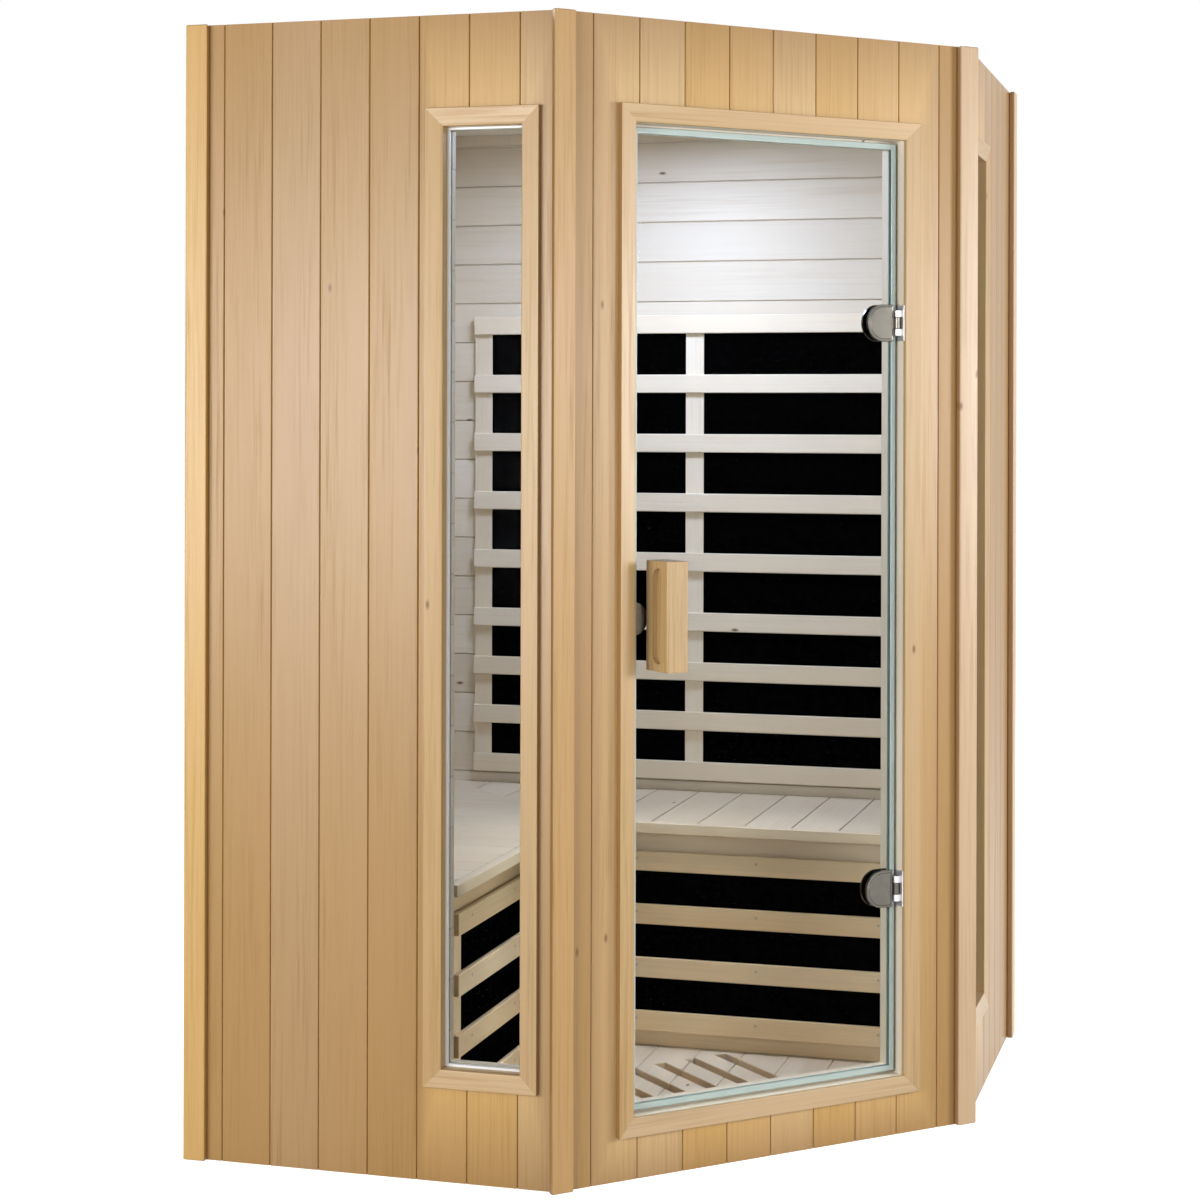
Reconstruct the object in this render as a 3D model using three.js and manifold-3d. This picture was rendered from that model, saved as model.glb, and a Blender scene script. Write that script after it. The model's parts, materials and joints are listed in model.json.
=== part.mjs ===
// Corner infrared sauna cabin for two: five timber walls on a pentagonal plan, a glass door in the
// diagonal front, a slit window in each side wall and an L-shaped bench with heaters behind slats.
// Millimetres, +Z up. The door faces -Y, the back walls meet at +Y, and the origin lies on the floor
// under the middle of the outer box. Left and right are as seen from the front.

import * as THREE from "three";
import { mergeVertices } from "three/addons/utils/BufferGeometryUtils.js";
import Module from "manifold-3d";

// Whole cabin
const cabinHeight = 1900;
const backWallLength = 1230;
const sideWallLength = 650;

// Clearances
const fitGap = 0.3;
const mitreGap = 0.25;
const runningGap = 0.5;
const pinClearance = 0.06;

// Wall layers, from the outside in
const boardThickness = 9;
const frameDepth = 26;
const liningThickness = 10;
const studWidth = 40;
const bayRows = 2;
const sideBayColumns = 1;
const backBayColumns = 3;
const claddingDrop = 0.5;
const boardPitch = 86.5;
const liningPitch = 83;
const liningTopBoard = 108;
const liningLowestJoint = 60;
const grooveWidth = 4;
const grooveDepth = 3;

// Corner strips
const stripWidth = 39;
const stripThickness = 12;
const stripOverhang = 13;

// Window in each side wall
const windowFromCorner = 127;
const windowWidth = 134;
const windowBottom = 185;
const windowHeadroom = 125;
const beadReveal = 3.5;
const beadThickness = 6;
const windowGlassDepth = 22;
const windowGlassThickness = 6;

// Casing round the windows and the door
const casingWidth = 30;
const casingThickness = 12;
const casingInnerThickness = 7;
const casingReturnDepth = 14;

// Door opening and jamb
const doorWidth = 540;
const doorBottom = 102;
const doorHeadroom = 115;
const jambThickness = 15;
const stopWidth = 14;

// Door leaf
const leafGap = 4.5;
const glassDepth = 17;
const glassThickness = 8;
const sealWall = 1.5;
const sealFlange = 10.5;

// Door handle and its back plate
const handleFromEdge = 30;
const handleWidth = 40;
const handleReach = 68;
const handleHeight = 181;
const handleCentreHeight = 920;
const gripDepth = 9;
const gripWidth = 34;
const gripHeight = 157;
const gripFromFront = 19;
const handlePlateWidth = 24;
const handlePlateHeight = 160;
const handlePlateThickness = 5;
const handleScrewRadius = 2.2;
const handleScrewSpacing = 110;
const handleScrewBite = 17;

// Strike plate and magnetic catch at the closing edge
const strikeRadius = 28;
const strikeBelowHandle = 7;
const strikeThickness = 3;
const strikePadRadius = 20;
const catchWidth = 18;
const catchHeight = 36;

// Hinges
const upperHingeFromHead = 317;
const lowerHingeFromFoot = 324;
const pivotFromJamb = 8.5;
const pivotDepth = 6;
const barrelRadius = 5;
const pinRadius = 2.5;
const hingePlateHeight = 64;
const hingePlateReach = 54;
const hingePlateThickness = 6;
const hingeBackThickness = 4;
const hingeBoltRadius = 4;
const hingeBoltSpacing = 30;
const middleKnuckleHeight = 20;
const outerKnuckleHeight = 12;
const hingeLeafThickness = 2.5;
const hingeLeafHeight = 62;
const hingeLeafDepth = 21;

// Floor
const floorBaseThickness = 12;
const floorTop = 34;
const floorSlotCount = 7;
const floorSlotPitch = 67;
const floorSlotWidth = 25;
const floorSlotLength = 218;
const floorSlotFromFront = 270;

// Bench and its skirt
const seatTop = 468;
const seatThickness = 21;
const benchDepth = 410;
const seatFromWall = 33;
const ledgerSize = 30;
const skirtSetback = 32;
const skirtThickness = 12;

// Slatted guards and heaters
const slatHeight = 38;
const slatThickness = 10;
const stileWidth = 38;
const stileHousing = 1;
const heaterThickness = 7;
const backGuardFromWall = 98;
const backGuardBottom = 492.5;
const backGuardFromCorner = 60;
const backWideGaps = 5;
const backWideGap = 85.4;
const middleStileShift = 10;
const backNarrowGaps = 3;
const backNarrowGap = 65;
const skirtGuardBottom = 65;
const skirtGuardGaps = 3;
const skirtGuardGap = 64.5;
const skirtGuardFromWall = 80;
const skirtGuardFromCorner = 10;

// Roof
const roofSpace = 58;
const ceilingThickness = 9;
const roofRimWidth = 30;
const roofCoverThickness = 6;
const roofCoverDrop = 10;
const corniceHeight = 22;
const corniceThickness = 12;

// Vent in the ceiling
const ventFromPowerUnit = 190;
const ventLength = 103;
const ventWidth = 43;
const ventWall = 8;
const ventFlangeLength = 160;
const ventFlangeWidth = 96;
const ventFlangeHeight = 18;
const shutterLength = 150;
const shutterWidth = 63;
const shutterThickness = 7;
const shutterLap = 6;
const shutterFloor = 6;
const shutterPull = 10;

// Ceiling light
const lightFromFront = 400;
const lightRadius = 70;
const lightHeight = 38;
const lightRimHeight = 12;

// Power unit above the ceiling
const powerUnitFromRear = 320;
const powerUnitLength = 300;
const powerUnitWidth = 150;
const powerUnitHeadroom = 3;
const inletRadius = 14;
const inletHeight = 14;
const inletSocketRadius = 9;
const inletSocketDepth = 10;

// Control panel inside the right wall
const controlFromCorner = 380;
const controlCentreHeight = 1250;
const controlWidth = 150;
const controlHeight = 100;
const controlThickness = 14;
const displayWidth = 120;
const displayHeight = 40;
const displayRecess = 1.5;
const displayRise = 18;
const buttonNames = ["power", "light", "plus", "minus"];
const buttonWidth = 18;
const buttonHeight = 12;
const buttonPitch = 32;
const buttonDrop = 26;
const buttonProud = 2;
const buttonBuried = 4;
const buttonTravel = 1.2;

// Roundness of turned and rounded pieces
const roundSides = 24;
const arcSteps = 10;

// Sizes that follow from the ones above
const slant = Math.SQRT1_2;
const frontWallLength = (backWallLength - sideWallLength) / slant;
const rearDepth = (sideWallLength + backWallLength) * slant;
const handleProud = handleReach - glassDepth + fitGap;
const frontPlane = (handleProud - rearDepth) / 2;
const wallThickness = boardThickness + frameDepth + liningThickness;
const frontMitre = Math.PI / 8;
const squareMitre = Math.PI / 4;
const claddingHeight = cabinHeight - claddingDrop;
const ceilingHeight = cabinHeight - roofSpace;
const roofRimHeight = roofSpace - roofCoverThickness - roofCoverDrop;
const powerUnitHeight = roofRimHeight - ceilingThickness - powerUnitHeadroom;
const windowHeight = ceilingHeight - windowHeadroom - windowBottom;
const doorHeight = ceilingHeight - doorHeadroom - doorBottom;
const hingeHeights = {
  upper: doorBottom + doorHeight - upperHingeFromHead,
  lower: doorBottom + lowerHingeFromFoot,
};
const benchFront = wallThickness + benchDepth;
const skirtFront = benchFront - skirtSetback;
const backGuardLength = backWallLength - 2 * wallThickness - backGuardFromWall - backGuardFromCorner;

const wasm = await Module();
wasm.setup();

// Solids: a closed geometry in, a cut, joined or shared geometry out

function solidOf(geometry) {
  const bare = geometry.clone();
  bare.deleteAttribute("normal");
  bare.deleteAttribute("uv");
  const merged = mergeVertices(bare);
  const vertProperties = merged.attributes.position.array;
  const triVerts = new Uint32Array(merged.index.array);
  return new wasm.Manifold(new wasm.Mesh({ numProp: 3, vertProperties, triVerts }));
}

function geometryOf(solid) {
  const mesh = solid.getMesh();
  const geometry = new THREE.BufferGeometry();
  geometry.setAttribute("position", new THREE.BufferAttribute(mesh.vertProperties, 3));
  geometry.setIndex(new THREE.BufferAttribute(mesh.triVerts, 1));
  geometry.computeVertexNormals();
  return geometry;
}

function cut(geometry, cutters) {
  const left = cutters.reduce((solid, cutter) => solid.subtract(solidOf(cutter)), solidOf(geometry));
  return geometryOf(left);
}

function join(geometries) {
  const [first, ...others] = geometries;
  const whole = others.reduce((solid, other) => solid.add(solidOf(other)), solidOf(first));
  return geometryOf(whole);
}

function common(geometry, other) {
  return geometryOf(solidOf(geometry).intersect(solidOf(other)));
}

// Basic forms

function box(x0, x1, y0, y1, z0, z1) {
  const geometry = new THREE.BoxGeometry(x1 - x0, y1 - y0, z1 - z0);
  return geometry.translate((x0 + x1) / 2, (y0 + y1) / 2, (z0 + z1) / 2);
}

function outline(points) {
  return new THREE.Shape(points.map(([a, b]) => new THREE.Vector2(a, b)));
}

// A plan outline raised from z0 to z1
function prism(shape, z0, z1) {
  const options = { depth: z1 - z0, bevelEnabled: false, curveSegments: arcSteps };
  return new THREE.ExtrudeGeometry(shape, options).translate(0, 0, z0);
}

// A section of depth (Y) and height (Z) run along X
function beamAlongX(shape, x0, x1) {
  const turn = new THREE.Matrix4().makeBasis(
    new THREE.Vector3(0, 1, 0),
    new THREE.Vector3(0, 0, 1),
    new THREE.Vector3(1, 0, 0),
  );
  return prism(shape, 0, x1 - x0).applyMatrix4(turn).translate(x0, 0, 0);
}

// A face outline of X and Z given thickness from y0 to y1
function plate(shape, y0, y1) {
  const turn = new THREE.Matrix4().makeBasis(
    new THREE.Vector3(1, 0, 0),
    new THREE.Vector3(0, 0, 1),
    new THREE.Vector3(0, -1, 0),
  );
  return prism(shape, 0, y1 - y0).applyMatrix4(turn).translate(0, y1, 0);
}

function uprightCylinder(radius, x, y, z0, z1) {
  const geometry = new THREE.CylinderGeometry(radius, radius, z1 - z0, roundSides);
  return geometry.rotateX(Math.PI / 2).translate(x, y, (z0 + z1) / 2);
}

function levelCylinder(radius, x, z, y0, y1) {
  return new THREE.CylinderGeometry(radius, radius, y1 - y0, roundSides).translate(x, (y0 + y1) / 2, z);
}

// A four-sided frame with mitred corners. Each section point is [inset from the outer edge, depth],
// listed from the outer front edge to the outer back edge and round by the inside.
function mitredFrame(centreX, centreZ, width, height, section) {
  const corners = [
    [-1, -1],
    [1, -1],
    [1, 1],
    [-1, 1],
  ];
  const positions = corners.flatMap(([sideX, sideZ]) =>
    section.flatMap(([inset, depth]) => [
      centreX + sideX * (width / 2 - inset),
      depth,
      centreZ + sideZ * (height / 2 - inset),
    ]),
  );
  const count = section.length;
  const index = [];
  for (let corner = 0; corner < corners.length; corner++) {
    const here = corner * count;
    const there = ((corner + 1) % corners.length) * count;
    for (let point = 0; point < count; point++) {
      const next = (point + 1) % count;
      index.push(here + point, here + next, there + point);
      index.push(here + next, there + next, there + point);
    }
  }
  const geometry = new THREE.BufferGeometry();
  geometry.setAttribute("position", new THREE.Float32BufferAttribute(positions, 3));
  geometry.setIndex(index);
  geometry.computeVertexNormals();
  return geometry;
}

// Walls. In a wall's own frame X runs along the outer face, Y goes into the cabin and Z is up.

// The plan of one wall layer, whose ends are cut on the mitre lines
function layerPlan(length, startMitre, endMitre, depth0, depth1, groovePlaces = []) {
  const start = (depth) => depth * Math.tan(startMitre) + mitreGap;
  const end = (depth) => length - depth * Math.tan(endMitre) - mitreGap;
  const points = [[start(depth0), depth0]];
  for (const place of groovePlaces) {
    points.push([place - grooveWidth / 2, depth0]);
    points.push([place, depth0 + grooveDepth]);
    points.push([place + grooveWidth / 2, depth0]);
  }
  points.push([end(depth0), depth0], [end(depth1), depth1], [start(depth1), depth1]);
  return outline(points);
}

// Board joints at the board pitch, counted both ways from the middle of the wall
function boardJoints(length, margin) {
  const middle = length / 2;
  const each = Math.floor((middle - margin) / boardPitch);
  return Array.from({ length: 2 * each + 1 }, (_, i) => middle + (i - each) * boardPitch);
}

// Section of the framed panel with a groove at every joint of its level lining boards
function panelSection() {
  const outer = boardThickness + fitGap;
  const top = ceilingHeight - fitGap;
  const points = [
    [outer, 0],
    [wallThickness, 0],
  ];
  const first = ceilingHeight - liningTopBoard;
  const joints = Math.floor((first - liningLowestJoint) / liningPitch) + 1;
  for (let i = joints - 1; i >= 0; i--) {
    const joint = first - i * liningPitch;
    points.push([wallThickness, joint - grooveWidth / 2]);
    points.push([wallThickness - grooveDepth, joint]);
    points.push([wallThickness, joint + grooveWidth / 2]);
  }
  points.push([wallThickness, top], [outer, top]);
  return outline(points);
}

function panelBlank(length, startMitre, endMitre) {
  const plan = layerPlan(length, startMitre, endMitre, boardThickness + fitGap, wallThickness);
  const block = prism(plan, 0, ceilingHeight);
  return common(beamAlongX(panelSection(), 0, length), block);
}

// The bays between studs, open towards the outer boards
function frameBays(x0, x1, columns) {
  const z0 = studWidth;
  const z1 = ceilingHeight - studWidth;
  const bayWidth = (x1 - x0 - (columns - 1) * studWidth) / columns;
  const bayHeight = (z1 - z0 - (bayRows - 1) * studWidth) / bayRows;
  const bays = [];
  for (let column = 0; column < columns; column++) {
    for (let row = 0; row < bayRows; row++) {
      const x = x0 + column * (bayWidth + studWidth);
      const z = z0 + row * (bayHeight + studWidth);
      bays.push(box(x, x + bayWidth, 0, boardThickness + frameDepth, z, z + bayHeight));
    }
  }
  return bays;
}

// A rectangular hole through depths y0 to y1, centred on X and Z
function holeThrough(centreX, centreZ, width, height, y0, y1) {
  return box(
    centreX - width / 2,
    centreX + width / 2,
    y0,
    y1,
    centreZ - height / 2,
    centreZ + height / 2,
  );
}

// Plan of the whole cabin, moved inwards from the outer faces by one distance
function cabinPlan(inset) {
  const halfFront = frontWallLength / 2 - inset * Math.tan(frontMitre);
  const sideReach = (sideWallLength - inset - inset * Math.tan(frontMitre)) * slant;
  const front = frontPlane + inset;
  const rear = frontPlane + rearDepth - inset / slant;
  return outline([
    [-halfFront, front],
    [halfFront, front],
    [halfFront + sideReach, front + sideReach],
    [0, rear],
    [-halfFront - sideReach, front + sideReach],
  ]);
}

// Casing, slatted guard and heater forms used more than once

// A window's casing has a thin return that lines the opening in front of the bead
function casing(centreX, centreZ, openingWidth, openingHeight, returnThickness = 0) {
  const face = casingWidth - returnThickness;
  const lining = [
    [face, casingReturnDepth],
    [casingWidth, casingReturnDepth],
  ];
  const section = [
    [0, -casingThickness - fitGap],
    [0, -fitGap],
    [face, -fitGap],
    ...(returnThickness > 0 ? lining : []),
    [casingWidth, -casingInnerThickness - fitGap],
  ];
  const width = openingWidth + 2 * casingWidth;
  const height = openingHeight + 2 * casingWidth;
  return mitredFrame(centreX, centreZ, width, height, section);
}

// Slats let into the front of upright stiles: end stiles reach back to the wall, and a long guard has a
// middle one that clears the heater behind it
function slattedGuard(x0, length, wallFace, slatBottoms, top, hasMiddleStile) {
  const back = wallFace + fitGap;
  const slatBack = back + heaterThickness + 2 * fitGap;
  const front = slatBack + slatThickness;
  const bottom = slatBottoms[0];
  const stiles = [
    [x0, back],
    [x0 + length - stileWidth, back],
  ];
  if (hasMiddleStile) {
    stiles.push([x0 + (length - stileWidth) / 2 + middleStileShift, slatBack - 2 * fitGap]);
  }
  const pieces = slatBottoms.map((z) => box(x0, x0 + length, slatBack, front, z, z + slatHeight));
  for (const [x, depth] of stiles) {
    pieces.push(box(x, x + stileWidth, depth, slatBack + stileHousing, bottom, top));
  }
  return join(pieces);
}

function heaterPanel(x0, length, wallFace, bottom, top) {
  const back = wallFace + fitGap;
  const inset = stileWidth + fitGap;
  return box(x0 + inset, x0 + length - inset, back, back + heaterThickness - fitGap, bottom, top);
}

// Heights of the lower edges of the back guard's slats
function backSlatBottoms() {
  const gaps = [
    ...Array(backNarrowGaps).fill(backNarrowGap),
    ...Array(backWideGaps).fill(backWideGap),
  ];
  const bottoms = [backGuardBottom];
  for (const gap of gaps) {
    bottoms.push(bottoms[bottoms.length - 1] + slatHeight + gap);
  }
  return bottoms;
}

function skirtSlatBottoms() {
  const step = slatHeight + skirtGuardGap;
  return Array.from({ length: skirtGuardGaps + 1 }, (_, i) => skirtGuardBottom + i * step);
}

// Materials
const outerWood = new THREE.MeshStandardMaterial({ color: 0xd2b088, roughness: 0.6 });
const innerWood = new THREE.MeshStandardMaterial({ color: 0xe2d9cc, roughness: 0.65 });
const plywood = new THREE.MeshStandardMaterial({ color: 0xc9a878, roughness: 0.7 });
const heaterBlack = new THREE.MeshStandardMaterial({ color: 0x0c0c0c, roughness: 0.9 });
const clearGlass = new THREE.MeshStandardMaterial({
  color: 0xe8f2ee,
  roughness: 0.05,
  transparent: true,
  opacity: 0.3,
});
const sealPlastic = new THREE.MeshStandardMaterial({ color: 0xd5e5e0, roughness: 0.3 });
const whitePlastic = new THREE.MeshStandardMaterial({ color: 0xf2f2ef, roughness: 0.4 });
const darkPlastic = new THREE.MeshStandardMaterial({ color: 0x1b1c1e, roughness: 0.35 });
const chrome = new THREE.MeshStandardMaterial({ color: 0xd8d8d8, roughness: 0.08, metalness: 1 });
const steel = new THREE.MeshStandardMaterial({ color: 0x9a9a98, roughness: 0.35, metalness: 1 });

// Scene graph
const cabin = new THREE.Group();

function add(group, name, geometry, material) {
  const mesh = new THREE.Mesh(geometry, material);
  mesh.name = name;
  group.add(mesh);
}

function wallGroup(parent, x, y, turn) {
  const group = new THREE.Group();
  group.position.set(x, y, 0);
  group.rotation.z = turn;
  parent.add(group);
  return group;
}

// Both halves of the cabin are alike, so the left one is the right one seen in a mirror
const halves = [
  { side: "right", group: new THREE.Group() },
  { side: "left", group: new THREE.Group() },
];
halves[1].group.scale.x = -1;

const sideReach = sideWallLength * slant;
for (const half of halves) {
  const halfFront = frontWallLength / 2;
  cabin.add(half.group);
  half.sideWall = wallGroup(half.group, halfFront, frontPlane, Math.PI / 4);
  half.backWall = wallGroup(
    half.group,
    halfFront + sideReach,
    frontPlane + sideReach,
    (3 * Math.PI) / 4,
  );
}
const frontWall = wallGroup(cabin, -frontWallLength / 2, frontPlane, 0);

function addToBothHalves(wall, nameOf, geometry, material) {
  for (const half of halves) {
    add(half[wall], nameOf(half.side), geometry, material);
  }
}

// Floor
function floorSlots() {
  const middle = (floorSlotCount - 1) / 2;
  const y0 = frontPlane + floorSlotFromFront;
  return Array.from({ length: floorSlotCount }, (_, i) => {
    const x = (i - middle) * floorSlotPitch;
    const half = floorSlotWidth / 2;
    return box(x - half, x + half, y0, y0 + floorSlotLength, 0, cabinHeight);
  });
}

const floorPlan = cabinPlan(wallThickness + fitGap);
add(cabin, "floor_base", prism(floorPlan, 0, floorBaseThickness - fitGap), plywood);
const floorBoards = cut(prism(floorPlan, floorBaseThickness, floorTop), floorSlots());
add(cabin, "floor_boards", floorBoards, innerWood);

// Front wall with its doorway
const doorCentreX = frontWallLength / 2;
const doorCentreZ = doorBottom + doorHeight / 2;
const doorwayWidth = doorWidth + 2 * (jambThickness + fitGap);
const doorwayHeight = doorHeight + 2 * (jambThickness + fitGap);
const doorway = holeThrough(
  doorCentreX,
  doorCentreZ,
  doorwayWidth,
  doorwayHeight,
  -wallThickness,
  2 * wallThickness,
);

const frontPlan = layerPlan(
  frontWallLength,
  frontMitre,
  frontMitre,
  0,
  boardThickness,
  boardJoints(frontWallLength, stripWidth),
);
add(frontWall, "front_wall_cladding", cut(prism(frontPlan, 0, claddingHeight), [doorway]), outerWood);
const frontPanel = cut(panelBlank(frontWallLength, frontMitre, frontMitre), [doorway]);
add(frontWall, "front_wall_panel", frontPanel, innerWood);

// Side walls with their slit windows
const windowCentreZ = windowBottom + windowHeight / 2;
const beadInnerWidth = windowWidth - 2 * beadReveal;
const beadInnerHeight = windowHeight - 2 * beadReveal;
const beadOuterWidth = beadInnerWidth + 2 * beadThickness;
const beadOuterHeight = beadInnerHeight + 2 * beadThickness;
const rebateDepth = windowGlassDepth + windowGlassThickness + fitGap;
const windowHole = holeThrough(
  windowFromCorner,
  windowCentreZ,
  beadOuterWidth + 2 * fitGap,
  beadOuterHeight + 2 * fitGap,
  -wallThickness,
  rebateDepth,
);
const windowSight = holeThrough(
  windowFromCorner,
  windowCentreZ,
  beadInnerWidth,
  beadInnerHeight,
  -wallThickness,
  2 * wallThickness,
);

const sidePlan = layerPlan(
  sideWallLength,
  frontMitre,
  squareMitre,
  0,
  boardThickness,
  boardJoints(sideWallLength, stripWidth),
);
const sideCladding = cut(prism(sidePlan, 0, claddingHeight), [windowHole]);
const sideBays = frameBays(
  windowFromCorner + beadOuterWidth / 2 + studWidth,
  sideWallLength - wallThickness - studWidth,
  sideBayColumns,
);
const sidePanel = cut(panelBlank(sideWallLength, frontMitre, squareMitre), [
  windowHole,
  windowSight,
  ...sideBays,
]);
addToBothHalves("sideWall", (side) => `${side}_wall_cladding`, sideCladding, outerWood);
addToBothHalves("sideWall", (side) => `${side}_wall_panel`, sidePanel, innerWood);

const windowCasing = casing(
  windowFromCorner,
  windowCentreZ,
  windowWidth,
  windowHeight,
  beadThickness - beadReveal,
);
const beadFront = casingReturnDepth + fitGap;
const windowBead = mitredFrame(windowFromCorner, windowCentreZ, beadOuterWidth, beadOuterHeight, [
  [0, beadFront],
  [0, windowGlassDepth - fitGap],
  [beadThickness, windowGlassDepth - fitGap],
  [beadThickness, beadFront],
]);
const windowGlass = holeThrough(
  windowFromCorner,
  windowCentreZ,
  beadOuterWidth,
  beadOuterHeight,
  windowGlassDepth,
  windowGlassDepth + windowGlassThickness,
);
addToBothHalves("sideWall", (side) => `${side}_window_casing`, windowCasing, outerWood);
addToBothHalves("sideWall", (side) => `${side}_window_bead`, windowBead, whitePlastic);
addToBothHalves("sideWall", (side) => `${side}_window_glass`, windowGlass, clearGlass);

// Back walls: a plain sheet outside, and a ledger inside that carries the back of the seat
const backPlan = layerPlan(backWallLength, squareMitre, squareMitre, 0, boardThickness);
const backSheet = prism(backPlan, 0, claddingHeight);
const backBays = frameBays(
  wallThickness + studWidth,
  backWallLength - wallThickness - studWidth,
  backBayColumns,
);
const ledgerTop = seatTop - seatThickness - fitGap;
const ledger = box(
  wallThickness + studWidth,
  backWallLength - wallThickness - ledgerSize - studWidth,
  wallThickness - liningThickness / 2,
  wallThickness + ledgerSize,
  ledgerTop - ledgerSize,
  ledgerTop,
);
const backPanel = join([cut(panelBlank(backWallLength, squareMitre, squareMitre), backBays), ledger]);
addToBothHalves("backWall", (side) => `back_${side}_wall_sheet`, backSheet, plywood);
addToBothHalves("backWall", (side) => `back_${side}_wall_panel`, backPanel, innerWood);

// Corner strips: on the front face over the front corners, on the side walls at their rear ends
for (const [side, x] of [
  ["left", -stripOverhang],
  ["right", frontWallLength + stripOverhang - stripWidth],
]) {
  const strip = box(x, x + stripWidth, -stripThickness - fitGap, -fitGap, 0, cabinHeight);
  add(frontWall, `front_${side}_corner_strip`, strip, outerWood);
}
const rearStrip = box(
  sideWallLength - stripWidth,
  sideWallLength,
  -stripThickness - fitGap,
  -fitGap,
  0,
  cabinHeight,
);
addToBothHalves("sideWall", (side) => `rear_${side}_corner_strip`, rearStrip, outerWood);

// Doorway trim: casing outside, jamb with its stop inside. The stop stands clear of the seal's inner
// corner, which swings round the hinge pin as the door opens.
const sealFront = glassDepth - fitGap - sealWall;
const sealBack = glassDepth + glassThickness + fitGap + sealWall;
const sealSwing = Math.hypot(pivotFromJamb - leafGap, sealBack - pivotDepth);
const stopDepth = pivotDepth + sealSwing + fitGap;
add(frontWall, "door_casing", casing(doorCentreX, doorCentreZ, doorWidth, doorHeight), outerWood);
const doorJamb = mitredFrame(
  doorCentreX,
  doorCentreZ,
  doorWidth + 2 * jambThickness,
  doorHeight + 2 * jambThickness,
  [
    [0, 0],
    [0, wallThickness],
    [jambThickness + stopWidth, wallThickness],
    [jambThickness + stopWidth, stopDepth],
    [jambThickness, stopDepth],
    [jambThickness, 0],
  ],
);
add(frontWall, "door_jamb", doorJamb, innerWood);

// Door leaf: glass pane with a clear channel seal round its edge
const leafWidth = doorWidth - 2 * leafGap;
const leafHeight = doorHeight - 2 * leafGap;
const leafLeft = doorCentreX - leafWidth / 2;
const doorSeal = mitredFrame(doorCentreX, doorCentreZ, leafWidth, leafHeight, [
  [0, sealFront],
  [0, sealBack],
  [sealFlange, sealBack],
  [sealFlange, sealBack - sealWall],
  [sealWall, sealBack - sealWall],
  [sealWall, sealFront + sealWall],
  [sealFlange, sealFront + sealWall],
  [sealFlange, sealFront],
]);
add(frontWall, "door_seal", doorSeal, sealPlastic);

const handleCentreX = leafLeft + handleFromEdge + handleWidth / 2;
const handleScrewHeights = [-1, 1].map((way) => handleCentreHeight + (way * handleScrewSpacing) / 2);
const pivotX = doorCentreX + doorWidth / 2 - pivotFromJamb;
const hingePlateRight = pivotX - barrelRadius - runningGap;
const hingeBoltX = hingePlateRight - hingePlateReach / 2;
const hingeBoltHeights = Object.values(hingeHeights).flatMap((height) =>
  [-1, 1].map((way) => height + (way * hingeBoltSpacing) / 2),
);
const glassEdge = sealWall + fitGap;
const glassPane = holeThrough(
  doorCentreX,
  doorCentreZ,
  leafWidth - 2 * glassEdge,
  leafHeight - 2 * glassEdge,
  glassDepth,
  glassDepth + glassThickness,
);
const glassHoles = [
  ...handleScrewHeights.map((z) =>
    levelCylinder(handleScrewRadius + runningGap, handleCentreX, z, 0, wallThickness),
  ),
  ...hingeBoltHeights.map((z) =>
    levelCylinder(hingeBoltRadius + runningGap, hingeBoltX, z, 0, wallThickness),
  ),
];
add(frontWall, "door_glass", cut(glassPane, glassHoles), clearGlass);

// Handle: a wooden block with an oblong finger grip in each side, screwed on from a back plate
function oblong(centreA, centreB, width, height) {
  const radius = width / 2;
  const straight = height / 2 - radius;
  const shape = new THREE.Shape();
  shape.absarc(centreA, centreB + straight, radius, 0, Math.PI, false);
  shape.absarc(centreA, centreB - straight, radius, Math.PI, 2 * Math.PI, false);
  return shape;
}

const handleBack = glassDepth - fitGap;
const handleFront = handleBack - handleReach;
const handleLeft = handleCentreX - handleWidth / 2;
const handleRight = handleCentreX + handleWidth / 2;
const gripShape = oblong(
  handleFront + gripFromFront + gripWidth / 2,
  handleCentreHeight,
  gripWidth,
  gripHeight,
);
const handleBlock = box(
  handleLeft,
  handleRight,
  handleFront,
  handleBack,
  handleCentreHeight - handleHeight / 2,
  handleCentreHeight + handleHeight / 2,
);
const doorHandle = cut(handleBlock, [
  beamAlongX(gripShape, handleLeft - gripDepth, handleLeft + gripDepth),
  beamAlongX(gripShape, handleRight - gripDepth, handleRight + gripDepth),
  ...handleScrewHeights.map((z) =>
    levelCylinder(
      handleScrewRadius + fitGap,
      handleCentreX,
      z,
      handleBack - handleScrewBite - fitGap,
      wallThickness,
    ),
  ),
]);
add(frontWall, "door_handle", doorHandle, outerWood);

const handlePlateFront = glassDepth + glassThickness + fitGap;
const handlePlate = box(
  handleCentreX - handlePlateWidth / 2,
  handleCentreX + handlePlateWidth / 2,
  handlePlateFront,
  handlePlateFront + handlePlateThickness,
  handleCentreHeight - handlePlateHeight / 2,
  handleCentreHeight + handlePlateHeight / 2,
);
const handleScrews = handleScrewHeights.map((z) =>
  levelCylinder(
    handleScrewRadius,
    handleCentreX,
    z,
    handleBack - handleScrewBite,
    handlePlateFront + handlePlateThickness / 2,
  ),
);
add(frontWall, "door_handle_back_plate", join([handlePlate, ...handleScrews]), outerWood);

// Strike plate: a half-round of steel behind the glass, on a pad that clears the seal
function halfRound(x, z, radius) {
  const shape = new THREE.Shape();
  shape.absarc(x, z, radius, -Math.PI / 2, Math.PI / 2, false);
  return shape;
}

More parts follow.
